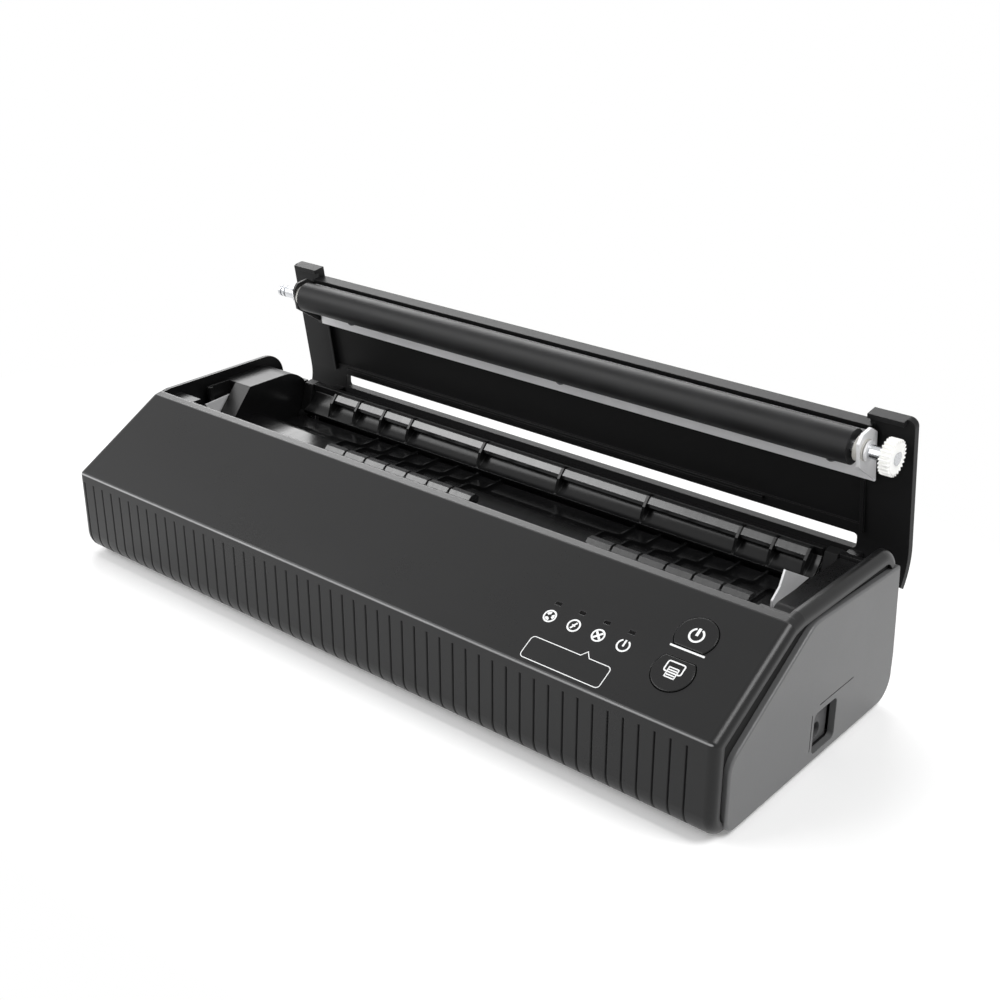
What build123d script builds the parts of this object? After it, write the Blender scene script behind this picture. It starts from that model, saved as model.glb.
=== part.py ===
from build123d import *
import math
import os

# A desktop thermal stencil copier with its hinged platen lid standing open.
# Lengths are in millimetres. X runs along the machine, Y from front to back and
# Z up. The origin is the centre of the footprint, level with the feet.

os.makedirs("parts", exist_ok=True)

# ---- outer size and wall stack at each end ----
BODY_L = 320.0          # over the two side panels
BODY_D = 116.4          # front face to rear face, low down
BODY_H = 61.6           # underside of the case to the end ridges
FOOT_H = 1.5            # what the feet show below the case
WALL = 2.4              # case wall
PANEL_T = 2.4           # side panel
SEAL_T = 1.2            # dark gasket strip behind the side panel
BULK_T = 1.6            # end bulkhead of the case
RIM_SET = 1.0           # case rim behind the outer face of the side panel
RIM_W = 4.6             # width of the thick rim round each end
RIM_R = 3.2             # rounding of that rim

# ---- side profile of the case, measured back from the front and up from below ----
FRONT_SHARE = 0.599     # height of the ribbed front face as a share of the case
CREST_SET = 74.6        # end of the slope in front of the rear face
CREST_DROP = 1.1        # end of the slope below the ridge height
CREST_FLAT = 6.2        # run from the crest up to the ridge height
REAR_IN = 3.8           # rear face leans in by this at the top
REAR_KNEE = 18.0        # height where the lean starts
NOSE_R = 9.5            # front bottom edge
BROW_R = 1.3            # edge between front face and slope
CREST_R = 0.8
HEEL_R = 9.0            # rear bottom edge
RIDGE_R = 10.0          # rear top edge of the ridges
LIP_SET = 3.0           # rear face of the crest lip behind the slope
LIP_T = 1.7             # thickness of the crest lip
LIP_DROP = 10.5         # how far the lip hangs into the machine
REAR_DROP = 10.0        # top of the rear wall below the ridges
SHELF_T = 1.6           # shelf behind the crest that backs each lid tab
SHELF_SET = 3.4         # front of the shelves behind the lip
SHELF_L = 5.8           # run of the left shelf
SHELF_R = 2.6           # run of the right shelf
SHELF_DROP = 3.4        # top of the shelves below the ridges
SHELF_W = 13.2          # shelf inboard of the bulkhead

# ---- grooves of the front face ----
GROOVE_N = 52
GROOVE_EDGE = 16.3      # case length less the run from first to last groove
GROOVE_MID = -3.2       # middle of the grooved field
GROOVE_W = 1.5
GROOVE_DEPTH = 0.75
GROOVE_TOP = 33.0
GROOVE_END = 13.0       # how far the grooves run in below the case

# ---- controls on the slope, placed along X and up the slope ----
SWITCH_SET = 27.5       # keys inboard of the right end
KEY_SPREAD = 7.2        # key centres from the middle of the slope
KEY_WEB = 2.25          # flat of each key from the middle of the slope
KEY_SHARE = 0.5125      # middle of the keys as a share of the slope
KEY_R = 7.3
KEY_GAP = 0.3
KEY_PROUD = 0.4
KEY_TRAVEL = 0.8
KEY_FLANGE = 0.9        # brim under the case wall
KEY_FLANGE_T = 0.8
KEY_STEM_R = 2.0
LIGHT_SET = 78.0        # first light inboard of the right end
LIGHT_PITCH = 10.0
LIGHT_N = 4
LIGHT_UP = 0.4          # lights above the middle of the keys
LIGHT_W = 2.4
LIGHT_H = 1.3
BOARD_T = 1.2
BOARD_DEPTH = 8.0       # face of the key board below the slope

# ---- side panel outline ----
PANEL_FRONT = 7.2
KNEE_DROP = 10.0        # panel knee below the top of the front face
PEAK_SET = 12.5         # panel peak behind the end of the slope
PEAK_DROP = 5.6         # panel peak below the ridges
PEAK_FALL = 2.9         # fall of the panel top to the rear
PANEL_TOE_R = 5.5
PANEL_KNEE_R = 8.0
PANEL_PEAK_R = 12.0
PANEL_EDGE_R = 0.9
PANEL_GAP = 0.2
SEAL_LAP = 3.5          # how far the gasket reaches in behind the panel

# ---- lid and hinge ----
HINGE_SET = 6.6         # hinge axis in front of the rear face
LID_OPEN = 81.46        # degrees from closed to the open position shown
LID_GAP = 0.5           # lid side to bulkhead
LID_BEHIND = 17.9       # how far the open lid reaches behind the case
LID_TOP = 26.4          # outer face above the hinge axis, lid closed
LID_T = 3.0
LID_EDGE = 59.7         # free edge in front of the axis
TAB_EDGE = 64.2
TAB_W = 16.7            # width of each tab
TAB_R = 3.0
CURL_U = 12.5           # where the rear curl starts
CURL_END_U = -3.0
CURL_END_W = 20.6
EDGE_LIP = 1.8          # turned-down lip along the free edge
EDGE_LIP_W = 20.9
LID_RECESS = 0.8        # centre of the inner face
RECESS_SET = 18.3       # recess in from the lid side
LID_RIB = 1.4
LID_RIB_T = 1.2
LID_RIB_SHARE = 0.635   # right end of the long rib as a share of the lid's half length
SLOT_U0 = 6.5           # paper exit slot
SLOT_U1 = 12.5
SLOT_SET_L = 23.3       # slot in from the left side of the lid
SLOT_SET_R = 20.3       # slot in from the right side of the lid
SLOT_R = 1.5
ARM_T = 5.2             # thickness of each hinge arm
ARM_GAP = 0.6           # arm to end block
ARM_BOSS_R = 4.4
NOTCH_GAP = 0.6         # below the arm bosses in the rear wall notches
PIN_R = 1.6
PIN_RUN = 0.05          # radial running clearance on pins and shafts

# ---- platen roller carried by the lid ----
ROLL_U = 54.4
ROLL_GAP = 0.9          # roller to the bracket web
ROLL_R = 6.5
ROLL_END = 3.0          # rubber end to bracket ear
CORE_R = 3.0
SHAFT_R = 2.5
SHAFT_SET_L = 0.8       # shaft end short of the left bulkhead
SHAFT_SET_R = 1.4       # shaft end short of the right bulkhead
EAR_SET = 14.8          # bracket ear inboard of the bulkhead
EAR_T = 1.2
EAR_RIM = 0.4
EAR_TIP = 2.0           # ear beyond the bush toward the free edge
WEB_T = 1.0
WEB_U0 = 38.0
WEB_U1 = 57.6
BUSH_R = 4.6
CLIP_R = 3.8
CLIP_T = 0.8

# ---- gear train ----
MODULE = 0.5
GEAR_T = 4.0
GEAR_SET = 5.8          # gears inboard of the bulkhead
PLATEN_TEETH = 25
OUTPUT_TEETH = 25
IDLER_TEETH = 40
PINION_TEETH = 12
TIP_GAP = 0.35          # output gear tips below the closed platen gear
BACKLASH = 0.10
IDLER_ANGLE = -17.5     # from output gear to idler
MOTOR_ANGLE = -50.0     # from idler to motor
AXLE_R = 1.5
PLATE_SET = 3.0         # gear plate inboard of the gears
PLATE_T = 1.2
BRACKET_SET = 19.4      # rear edge of the gear plate in front of the rear face
MOTOR_CLEAR = 3.8       # motor above the tray
MOTOR_L = 18.0

# ---- inner structure ----
BLOCK_W = 17.0          # width of the end blocks
BLOCK_DROP = 3.8        # top of the left block below the ridges
LEG_LEAN = 9.4          # block top behind the leg bend
BLOCK_SET = 8.4         # block corner in front of the rear face
BLOCK_REAR_R = 16.0
BLOCK_FALL = 18.0       # drop of the block behind that corner
BLOCK_WALL = 2.0
POCKET_SET = 1.8        # pocket behind the crest lip
POCKET_RISE = 5.8       # pocket floor above the hinge axis
POCKET_L = 17.4         # length of the pocket
LEG_RUN = 5.4           # leg behind the pocket
LEG_RISE = 6.1          # leg bend above the pocket floor
LEG_SET = 7.2           # outboard side of the front leg inboard of the bulkhead
HOUSING_DROP = 1.6      # housing below the rear wall
GUIDE_T = 1.6
GUIDE_SIDE = 1.0        # guide end to hinge arm
GUIDE_SPLIT_SET = 28.4  # wide part of the guide in front of the rear face
RIB_SHARE = 0.036625    # rib pitch as a share of the case length
RIB_T = 1.0
TRAY_T = 2.4
TRAY_Y0 = 20.0
TRAY_SET = 16.4         # rear edge of the tray in front of the rear face
TRAY_GAP = 0.3
HEAD_SHARE = 0.35       # half length of the print head as a share of the case
JACK_SET = 49.2         # socket in front of the rear face
JACK_Z = 7.8
JACK_W = 15.5
JACK_Z0 = 3.0
JACK_Z1 = 19.4
JACK_R = 2.0            # corners of the panel opening
SEAM_W = 0.5
SEAM_SET = 4.6          # seams off the opening
SEAM_L = 23.0
SEAM_H = 14.4
JACK_BORE_R = 3.1
JACK_BORE_L = 8.0
JACK_PIN_R = 1.0
JACK_PIN_L = 2.8

TRAY_RIM_T = 1.6
TRAY_RIM_H = 5.0
TONGUE_W = 14.0
TONGUE_L = 7.0
TONGUE_T = 2.0
SCREW_SHARE = 0.375     # outer screws from the middle, as a share of the case length
SCREW_Y0 = 16.5         # screws through the case lip, front and rear
SCREW_SET = 12.9        # rear screws in front of the rear face
SCREW_R = 1.5
FOOT_R = 6.0
FOOT_SINK = 0.6
FOOT_END = 35.0         # feet inboard of each end
FOOT_IN = 8.0           # feet inside the front and rear edge of the tray
BOARD_W = 72.0          # key board along X
BOARD_H = 36.0
BOARD_IN = 3.5
BOARD_SET = 51.0        # key board inboard of the right end
BOARD_DOWN = 1.1        # key board below the middle of the keys
MAIN_SHARE = -0.125     # main board along the case, as a share of its length
MAIN_SET = 33.4         # main board in front of the rear face
MAIN_L_SHARE = 0.375    # main board length as a share of the case
MAIN_W = 32.0
POST_H = 5.0
HOOK_SET = 2.4          # guard rib inboard of the bulkhead
HOOK_RUN = 3.5          # front of the guard rib behind the pocket
HOOK_R = 0.9
HOOK_T = 1.2
PIN_SEAT = 6.0
LATCH_SET = 5.0         # steel plate in the left pocket, inboard of the bulkhead
LATCH_T = 0.8
LATCH_LAP = 1.8         # its front edge ahead of the rear of the pocket
LATCH_H = 10.4
LATCH_L = 14.6
LEAF_GAP = 3.4          # bent steel leaf inboard of the right housing
LEAF_T = 0.8
LEAF_RUN = 6.1          # its front edge behind the pocket
LEAF_H = 12.9
GUIDE_UP = 2.8          # front guide above the print head
GUIDE_LAP = 1.5         # guide over the rear of the print head
GUIDE_SET = 13.8        # guide end in front of the rear face
GUIDE_RUN = 17.0        # flat part of the guide
GUIDE_RAMP = 10.0
GUIDE_DIP = 5.6
GUIDE_BEND = 7.0
RIB_H = 1.4
RIB_N = 7
RIB_LEFT_SHARE = -0.25625# first rib of each group, as a share of the case length
RIB_RIGHT_SHARE = 0.175
RIB_SET = 3.5           # ribs behind the front edge of the guide
REAR_GUIDE_SET = 12.8   # rear guide in front of the rear face
REAR_GUIDE_H = 9.8
REAR_GUIDE_DROP = 0.4   # rear guide below the rear wall
REAR_GUIDE_R = 14.0
GUSSET_T = 1.2
GUSSET_SHARE = (
    -0.3594, -0.3125, -0.2625, -0.2109, -0.0819, 0.0481, 0.1781, 0.3081, 0.3531, 0.3969,
)
HEAD_GAP = 0.3          # print head below the closed platen
HEAD_SET = 2.7          # print head behind the crest lip
HEAD_W = 18.5
HEAD_H = 5.5
SINK_H = 7.5
SINK_FIN = 1.4
SINK_GAP = 3.4
CARRIER_IN = 1.5
CARRIER_T = 1.2
SENSOR_SET = 2.0        # image sensor behind the print head
SENSOR_W = 11.0
SENSOR_H = 10.2
SENSOR_SHORT = 4.0      # image sensor short of the print head at each end
KEY_STEM_END = 5.2      # depth of the stem's lower end
KEY_TICK = 0.15         # play between brim and case wall
SWITCH_A = 5.0
MAIN_T = 1.6
BODY_OF_JACK = 8.8      # how far the socket reaches in behind its face
JACK_FACE = 1.0         # face of the socket inboard of the panel's inner side
SHAFT_FLAT = 2.0
SCREW_U = 43.4          # bracket screws, in front of the hinge axis
BRACKET_SCREW_SHARE = (-0.8493, 0.0093, 0.8857)# as shares of the ear distance
BRACKET_SCREW_R = 1.3
STUB_R = 1.9
STUB_W = 0.9

# ---- derived stations ----
FRONT = -(BODY_D + LID_BEHIND) / 2
PANEL_X = BODY_L / 2
SEAL_X = PANEL_X - PANEL_T
BULK_X = SEAL_X - SEAL_T
BULK_IN = BULK_X - BULK_T
RIM_X = PANEL_X - RIM_SET
# heights, from the underside of the case
FRONT_H = BODY_H * FRONT_SHARE
CREST_Z = BODY_H - CREST_DROP
REAR_TOP = BODY_H - REAR_DROP
SHELF_Z = BODY_H - SHELF_DROP
HINGE_Z = BODY_H - LID_TOP
PANEL_KNEE = FRONT_H - KNEE_DROP
PANEL_PEAK_Z = BODY_H - PEAK_DROP
PANEL_REAR_Z = PANEL_PEAK_Z - PEAK_FALL
WEB_W = LID_TOP - LID_T - LID_RIB - WEB_T
ROLL_W = WEB_W - ROLL_R - ROLL_GAP
HEAD_TOP = HINGE_Z + ROLL_W - ROLL_R - HEAD_GAP
HEAD_BASE = HEAD_TOP - HEAD_H
SINK_BASE = HEAD_BASE - SINK_H
GUIDE_FLAT = HEAD_TOP + GUIDE_UP
SENSOR_Z = GUIDE_FLAT - GUIDE_T - SENSOR_H
REAR_GUIDE_TOP = REAR_TOP - REAR_GUIDE_DROP
REAR_GUIDE_Z = REAR_GUIDE_TOP - REAR_GUIDE_H
POCKET_Z = HINGE_Z + POCKET_RISE
LEG_Z = POCKET_Z + LEG_RISE
BLOCK_TOP = BODY_H - BLOCK_DROP
HOUSING_TOP = REAR_TOP - HOUSING_DROP
LATCH_Z = POCKET_Z + LATCH_H
LEAF_TOP = GUIDE_FLAT + LEAF_H
# distances behind the front face
CREST_Y = BODY_D - CREST_SET
LIP_Y = CREST_Y + LIP_SET
SHELF_Y = LIP_Y + SHELF_SET
SHELF_END_L = SHELF_Y + SHELF_L
SHELF_END_R = SHELF_Y + SHELF_R
PANEL_PEAK_Y = CREST_Y + PEAK_SET
HINGE_Y = BODY_D - HINGE_SET
POCKET_Y = LIP_Y + POCKET_SET
POCKET_BACK = POCKET_Y + POCKET_L
LEG_Y = POCKET_BACK + LEG_RUN
BLOCK_FRONT = LEG_Y + LEG_LEAN
BLOCK_REAR = BODY_D - BLOCK_SET
HOOK_Y = POCKET_BACK + HOOK_RUN
LATCH_Y = POCKET_BACK - LATCH_LAP
LEAF_Y = POCKET_BACK + LEAF_RUN
HEAD_Y0 = LIP_Y + HEAD_SET
HEAD_Y1 = HEAD_Y0 + HEAD_W
SENSOR_Y0 = HEAD_Y1 + SENSOR_SET
SENSOR_Y1 = SENSOR_Y0 + SENSOR_W
GUIDE_Y0 = HEAD_Y1 - GUIDE_LAP
GUIDE_Y1 = BODY_D - GUIDE_SET
GUIDE_SPLIT = BODY_D - GUIDE_SPLIT_SET
RIB_Y0 = GUIDE_Y0 + RIB_SET
REAR_GUIDE_Y = BODY_D - REAR_GUIDE_SET
TRAY_Y1 = BODY_D - TRAY_SET
SCREW_Y1 = BODY_D - SCREW_SET
MAIN_Y = BODY_D - MAIN_SET
JACK_Y = BODY_D - JACK_SET
BRACKET_Y1 = BODY_D - BRACKET_SET
# distances from the middle along the machine
BLOCK_X = BULK_IN - BLOCK_W
ARM_X1 = BLOCK_X - ARM_GAP
ARM_X0 = ARM_X1 - ARM_T
GUIDE_X = ARM_X0 - GUIDE_SIDE
LID_X = BULK_IN - LID_GAP
TAB_IN = LID_X - TAB_W
LID_RECESS_X = LID_X - RECESS_SET
LID_RIB_X = LID_X * LID_RIB_SHARE
SLOT_X0 = SLOT_SET_L - LID_X
SLOT_X1 = LID_X - SLOT_SET_R
EAR_X = BULK_IN - EAR_SET
ROLL_HALF = EAR_X - ROLL_END
SHAFT_X0 = SHAFT_SET_L - BULK_IN
SHAFT_X1 = BULK_IN - SHAFT_SET_R
GEAR_X = BULK_IN - GEAR_SET
PLATE_X = GEAR_X - PLATE_SET
SHELF_X = BULK_IN - SHELF_W
LEG_X = BULK_IN - LEG_SET
HOOK_X = BULK_IN - HOOK_SET
LATCH_X = BULK_IN - LATCH_SET
LEAF_X = BLOCK_X - LEAF_GAP
SWITCH_X = PANEL_X - SWITCH_SET
LIGHT_X = PANEL_X - LIGHT_SET
BOARD_MID_X = PANEL_X - BOARD_SET
HEAD_X = BODY_L * HEAD_SHARE
SENSOR_X = HEAD_X - SENSOR_SHORT
MAIN_X = BODY_L * MAIN_SHARE
MAIN_L = BODY_L * MAIN_L_SHARE
FOOT_PITCH_X = BODY_L - 2 * FOOT_END
FOOT_PITCH_Y = TRAY_Y1 - TRAY_Y0 - 2 * FOOT_IN
GROOVE_PITCH = (BODY_L - GROOVE_EDGE) / (GROOVE_N - 1)
RIB_PITCH = BODY_L * RIB_SHARE
RIB_LEFT = BODY_L * RIB_LEFT_SHARE
RIB_RIGHT = BODY_L * RIB_RIGHT_SHARE
GUSSET_X = [BODY_L * share for share in GUSSET_SHARE]
BRACKET_SCREW_X = [EAR_X * share for share in BRACKET_SCREW_SHARE]
SCREW_X = [-BODY_L * SCREW_SHARE, 0.0, BODY_L * SCREW_SHARE]
# the control slope, s up from its lower edge
SLOPE = math.degrees(math.atan2(CREST_Z - FRONT_H, CREST_Y))
KEY_MID = KEY_SHARE * math.hypot(CREST_Y, CREST_Z - FRONT_H)
POWER_S = KEY_MID + KEY_SPREAD
POWER_CUT = KEY_MID + KEY_WEB
COPY_S = KEY_MID - KEY_SPREAD
COPY_CUT = KEY_MID - KEY_WEB
LIGHT_S = KEY_MID + LIGHT_UP
BOARD_MID_S = KEY_MID - BOARD_DOWN
REAR_TOP_Y = BODY_D - REAR_IN
LEAN = math.radians(LID_OPEN)
NOTCH_X = (GUIDE_X + BLOCK_X) / 2
SCREW_SPOTS = [(x, FRONT + y) for x in SCREW_X for y in (SCREW_Y0, SCREW_Y1)]
LIGHT_MID = LIGHT_X + LIGHT_PITCH * (LIGHT_N - 1) / 2


def at(y, z):
    """A point of the side view, from its distance behind the front and above the case."""
    return (FRONT + y, FOOT_H + z)


def side(x):
    """The side view plane at one place along the machine."""
    return Plane.YZ.offset(x)


def lid_plane(x):
    """The side view plane that swings with the lid: u forward, w up when closed."""
    hinge = at(HINGE_Y, HINGE_Z)
    return Plane(
        origin=(x, hinge[0], hinge[1]),
        x_dir=(0, -math.cos(LEAN), math.sin(LEAN)),
        z_dir=(-1, 0, 0),
    )


def slope_plane(x, s, depth=0.0):
    """A plane on the control slope, s up from its lower edge and depth below it."""
    rise = math.radians(SLOPE)
    y = s * math.cos(rise) + depth * math.sin(rise)
    z = FRONT_H + s * math.sin(rise) - depth * math.cos(rise)
    base = at(y, z)
    return Plane(
        origin=(x, base[0], base[1]),
        x_dir=(1, 0, 0),
        z_dir=(0, -math.sin(rise), math.cos(rise)),
    )


def soften(sketch, point, radius):
    """Round the corner of a sketch that lies nearest to a point."""
    fillet(sketch.vertices().sort_by_distance((point[0], point[1], 0))[0], radius)


# ---- outlines used by several pieces ----
CORNERS = [
    at(0, 0),
    at(0, FRONT_H),
    at(CREST_Y, CREST_Z),
    at(CREST_Y + CREST_FLAT, BODY_H),
    at(REAR_TOP_Y, BODY_H),
    at(BODY_D, REAR_KNEE),
    at(BODY_D, 0),
]
with BuildSketch() as case_outline:
    Polygon(*CORNERS)
    soften(case_outline, CORNERS[0], NOSE_R)
    soften(case_outline, CORNERS[1], BROW_R)
    soften(case_outline, CORNERS[2], CREST_R)
    soften(case_outline, CORNERS[4], RIDGE_R)
    soften(case_outline, CORNERS[6], HEEL_R)

with BuildSketch() as case_inside:
    offset(case_outline.sketch, amount=-WALL)

PANEL_CORNERS = [
    at(PANEL_FRONT, 0),
    at(PANEL_FRONT, PANEL_KNEE),
    at(PANEL_PEAK_Y, PANEL_PEAK_Z),
    at(BODY_D + WALL, PANEL_REAR_Z),
    at(BODY_D + WALL, 0),
]
with BuildSketch() as panel_outline:
    Polygon(*PANEL_CORNERS)
    soften(panel_outline, PANEL_CORNERS[0], PANEL_TOE_R)
    soften(panel_outline, PANEL_CORNERS[1], PANEL_KNEE_R)
    soften(panel_outline, PANEL_CORNERS[2], PANEL_PEAK_R)
    add(case_outline.sketch, mode=Mode.INTERSECT)

# ---- case: ribbed front, control slope, ridges, rear wall and end bulkheads ----
with BuildPart() as top_shell:
    with BuildSketch(side(0)):
        add(case_outline.sketch)
        add(case_inside.sketch, mode=Mode.SUBTRACT)
    extrude(amount=BULK_X)
    with BuildSketch(side(BULK_IN)):
        add(case_outline.sketch)
    extrude(amount=BULK_T)
    with BuildSketch(side(BULK_X)):
        add(case_outline.sketch)
        offset(case_outline.sketch, amount=-RIM_W, mode=Mode.SUBTRACT)
    extrude(amount=RIM_X - BULK_X)
    rim_face = top_shell.faces().sort_by(Axis.X)[-1]
    fillet(rim_face.outer_wire().edges(), RIM_R)
    # seat of the side panel: rear and underside are cut back to the panel's inner face
    with BuildSketch(side(SEAL_X)):
        offset(panel_outline.sketch, amount=PANEL_GAP)
        with BuildLine():
            Polyline(
                at(PANEL_FRONT - PANEL_GAP, -WALL),
                at(PANEL_FRONT - PANEL_GAP, PANEL_KNEE / 2),
                at(BODY_D / 2, PANEL_KNEE / 2),
                at(BODY_D / 2, PANEL_REAR_Z - WALL),
                at(BODY_D + WALL, PANEL_REAR_Z - WALL),
                at(BODY_D + WALL, -WALL),
                close=True,
            )
        make_face()
    extrude(amount=PANEL_T, mode=Mode.SUBTRACT)
    mirror(about=Plane.YZ)
    # open top between the ridges, behind the crest lip
    with BuildSketch(Plane.XY.offset(FOOT_H + REAR_TOP)):
        with Locations((0, FRONT + LIP_Y)):
            Rectangle(2 * BULK_IN, BODY_D, align=(Align.CENTER, Align.MIN))
    extrude(amount=BODY_H, mode=Mode.SUBTRACT)
    # open underside for the base tray
    with BuildSketch(Plane.XY.offset(FOOT_H - WALL)):
        with Locations((0, FRONT + (TRAY_Y0 + TRAY_Y1) / 2)):
            Rectangle(2 * BULK_IN, TRAY_Y1 - TRAY_Y0)
    extrude(amount=3 * WALL, mode=Mode.SUBTRACT)
    with BuildSketch(Plane.XY.offset(FOOT_H)):
        with Locations(*SCREW_SPOTS):
            Circle(SCREW_R)
    extrude(amount=WALL, mode=Mode.SUBTRACT)
    # crest lip, turned down into the machine
    with BuildSketch(side(-BULK_IN)):
        with BuildLine():
            Polyline(
                at(LIP_Y - LIP_T, CREST_Z - LIP_DROP),
                at(LIP_Y, CREST_Z - LIP_DROP),
                at(LIP_Y, CREST_Z),
                at(LIP_Y - LIP_T, CREST_Z - WALL / 2),
                close=True,
            )
        make_face()
    extrude(amount=2 * BULK_IN)
    # shelves behind the crest at both ends
    for x0, y1 in ((-BULK_IN, SHELF_END_L), (SHELF_X, SHELF_END_R)):
        with BuildSketch(Plane.XY.offset(FOOT_H + SHELF_Z - SHELF_T)):
            with Locations((x0, FRONT + SHELF_Y)):
                Rectangle(BULK_IN - SHELF_X, y1 - SHELF_Y, align=(Align.MIN, Align.MIN))
        extrude(amount=SHELF_T)
    # notches in the rear wall where the hinge arms pass
    with BuildSketch(Plane.XY.offset(FOOT_H + HINGE_Z - ARM_BOSS_R - NOTCH_GAP)):
        with Locations((-NOTCH_X, FRONT + BODY_D), (NOTCH_X, FRONT + BODY_D)):
            Rectangle(BLOCK_X - GUIDE_X, 6 * WALL)
    extrude(amount=BODY_H, mode=Mode.SUBTRACT)
    # V grooves down the front and round its lower edge
    with BuildLine(side(0)) as groove_path:
        l1 = Line(at(0, GROOVE_TOP), at(0, NOSE_R))
        l2 = RadiusArc(at(0, NOSE_R), at(NOSE_R, 0), -NOSE_R)
        l3 = Line(at(NOSE_R, 0), at(GROOVE_END, 0))
    with BuildSketch(Plane(origin=(0, FRONT, FOOT_H + GROOVE_TOP), x_dir=(1, 0, 0), z_dir=(0, 0, -1))) as vee:
        Polygon(
            (-GROOVE_W / 2, GROOVE_DEPTH / 2),
            (GROOVE_W / 2, GROOVE_DEPTH / 2),
            (0, -GROOVE_DEPTH),
        )
    groove = sweep(path=groove_path.line, mode=Mode.PRIVATE)
    with Locations(Location((GROOVE_MID, 0, 0))):
        with GridLocations(GROOVE_PITCH, 0, GROOVE_N, 1):
            add(groove, mode=Mode.SUBTRACT)
    # windows and key openings in the control slope, with a step for each key's brim
    with BuildSketch(slope_plane(LIGHT_MID, LIGHT_S)):
        with GridLocations(LIGHT_PITCH, 0, LIGHT_N, 1):
            Rectangle(LIGHT_W, LIGHT_H)
    extrude(amount=-2 * WALL, mode=Mode.SUBTRACT)
    for key_s, cut_s, keep in ((POWER_S, POWER_CUT, 1), (COPY_S, COPY_CUT, -1)):
        with BuildSketch(slope_plane(SWITCH_X, key_s)):
            Circle(KEY_R + KEY_GAP)
            with Locations((0, cut_s - key_s - keep * KEY_GAP)):
                Rectangle(
                    4 * KEY_R,
                    2 * KEY_R,
                    align=(Align.CENTER, Align.MAX if keep > 0 else Align.MIN),
                    mode=Mode.SUBTRACT,
                )
        extrude(amount=-2 * WALL, mode=Mode.SUBTRACT)
    # opening for the power socket in the right bulkhead
    with BuildSketch(side(BULK_IN)):
        with Locations(at(JACK_Y, (JACK_Z0 + JACK_Z1) / 2)):
            Rectangle(JACK_W, JACK_Z1 - JACK_Z0)
    extrude(amount=SEAL_X - BULK_IN, mode=Mode.SUBTRACT)
    # bosses under the slope that carry the key board
    with BuildSketch(slope_plane(BOARD_MID_X, BOARD_MID_S, BOARD_DEPTH)):
        with GridLocations(BOARD_W - 2 * BOARD_IN, BOARD_H - 2 * BOARD_IN, 2, 2):
            Circle(KEY_STEM_R)
    extrude(amount=BOARD_DEPTH - WALL / 2)
top_shell.part.label = "top_shell"
export_step(top_shell.part, "parts/top_shell.step")

# ---- side panels: inset at the front and slope, flush at the rear and below ----
with BuildPart() as left_side_panel:
    with BuildSketch(side(-PANEL_X)):
        add(panel_outline.sketch)
    extrude(amount=PANEL_T)
    outer_face = left_side_panel.faces().sort_by(Axis.X)[0]
    fillet(outer_face.edges(), PANEL_EDGE_R)
left_side_panel.part.label = "left_side_panel"
export_step(left_side_panel.part, "parts/left_side_panel.step")

with BuildPart() as right_side_panel:
    with BuildSketch(side(SEAL_X)):
        add(panel_outline.sketch)
    extrude(amount=PANEL_T)
    outer_face = right_side_panel.faces().sort_by(Axis.X)[-1]
    fillet(outer_face.edges(), PANEL_EDGE_R)
    # arched opening in front of the power socket
    with BuildSketch(side(SEAL_X)):
        with Locations(at(JACK_Y, (JACK_Z0 + JACK_Z1) / 2)):
            RectangleRounded(JACK_W - 2 * PANEL_GAP, JACK_Z1 - JACK_Z0 - 2 * PANEL_GAP, JACK_R)
    extrude(amount=PANEL_T, mode=Mode.SUBTRACT)
    # fine seams above and in front of it
    with BuildSketch(side(PANEL_X)):
        with Locations(at(JACK_Y - SEAM_SET, JACK_Z1 + SEAM_SET / 2)):
            Rectangle(SEAM_L, SEAM_W, align=(Align.MIN, Align.CENTER))
        with Locations(at(JACK_Y - 2 * SEAM_SET, JACK_Z0 + SEAM_SET / 2)):
            Rectangle(SEAM_W, SEAM_H, align=(Align.CENTER, Align.MIN))
    extrude(amount=-SEAM_W, mode=Mode.SUBTRACT)
right_side_panel.part.label = "right_side_panel"
export_step(right_side_panel.part, "parts/right_side_panel.step")

# ---- dark gasket strips that fill the step between case rim and side panel ----
with BuildSketch() as seal_outline:
    offset(case_outline.sketch, amount=-RIM_W)
    with BuildLine():
        Polyline(
            at(PANEL_FRONT + SEAL_LAP, -WALL),
            at(PANEL_FRONT + SEAL_LAP, PANEL_KNEE - SEAL_LAP / 2),
            at(PANEL_PEAK_Y + SEAL_LAP / 2, PANEL_PEAK_Z - SEAL_LAP),
            at(BODY_D + WALL, PANEL_REAR_Z - SEAL_LAP),
            at(BODY_D + WALL, -WALL),
            close=True,
        )
    make_face(mode=Mode.SUBTRACT)
for name, x0 in (("left_seal", -SEAL_X), ("right_seal", BULK_X)):
    with BuildPart() as seal:
        with BuildSketch(side(x0)):
            add(seal_outline.sketch)
        extrude(amount=SEAL_T)
    seal.part.label = name
    export_step(seal.part, "parts/" + name + ".step")

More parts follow.
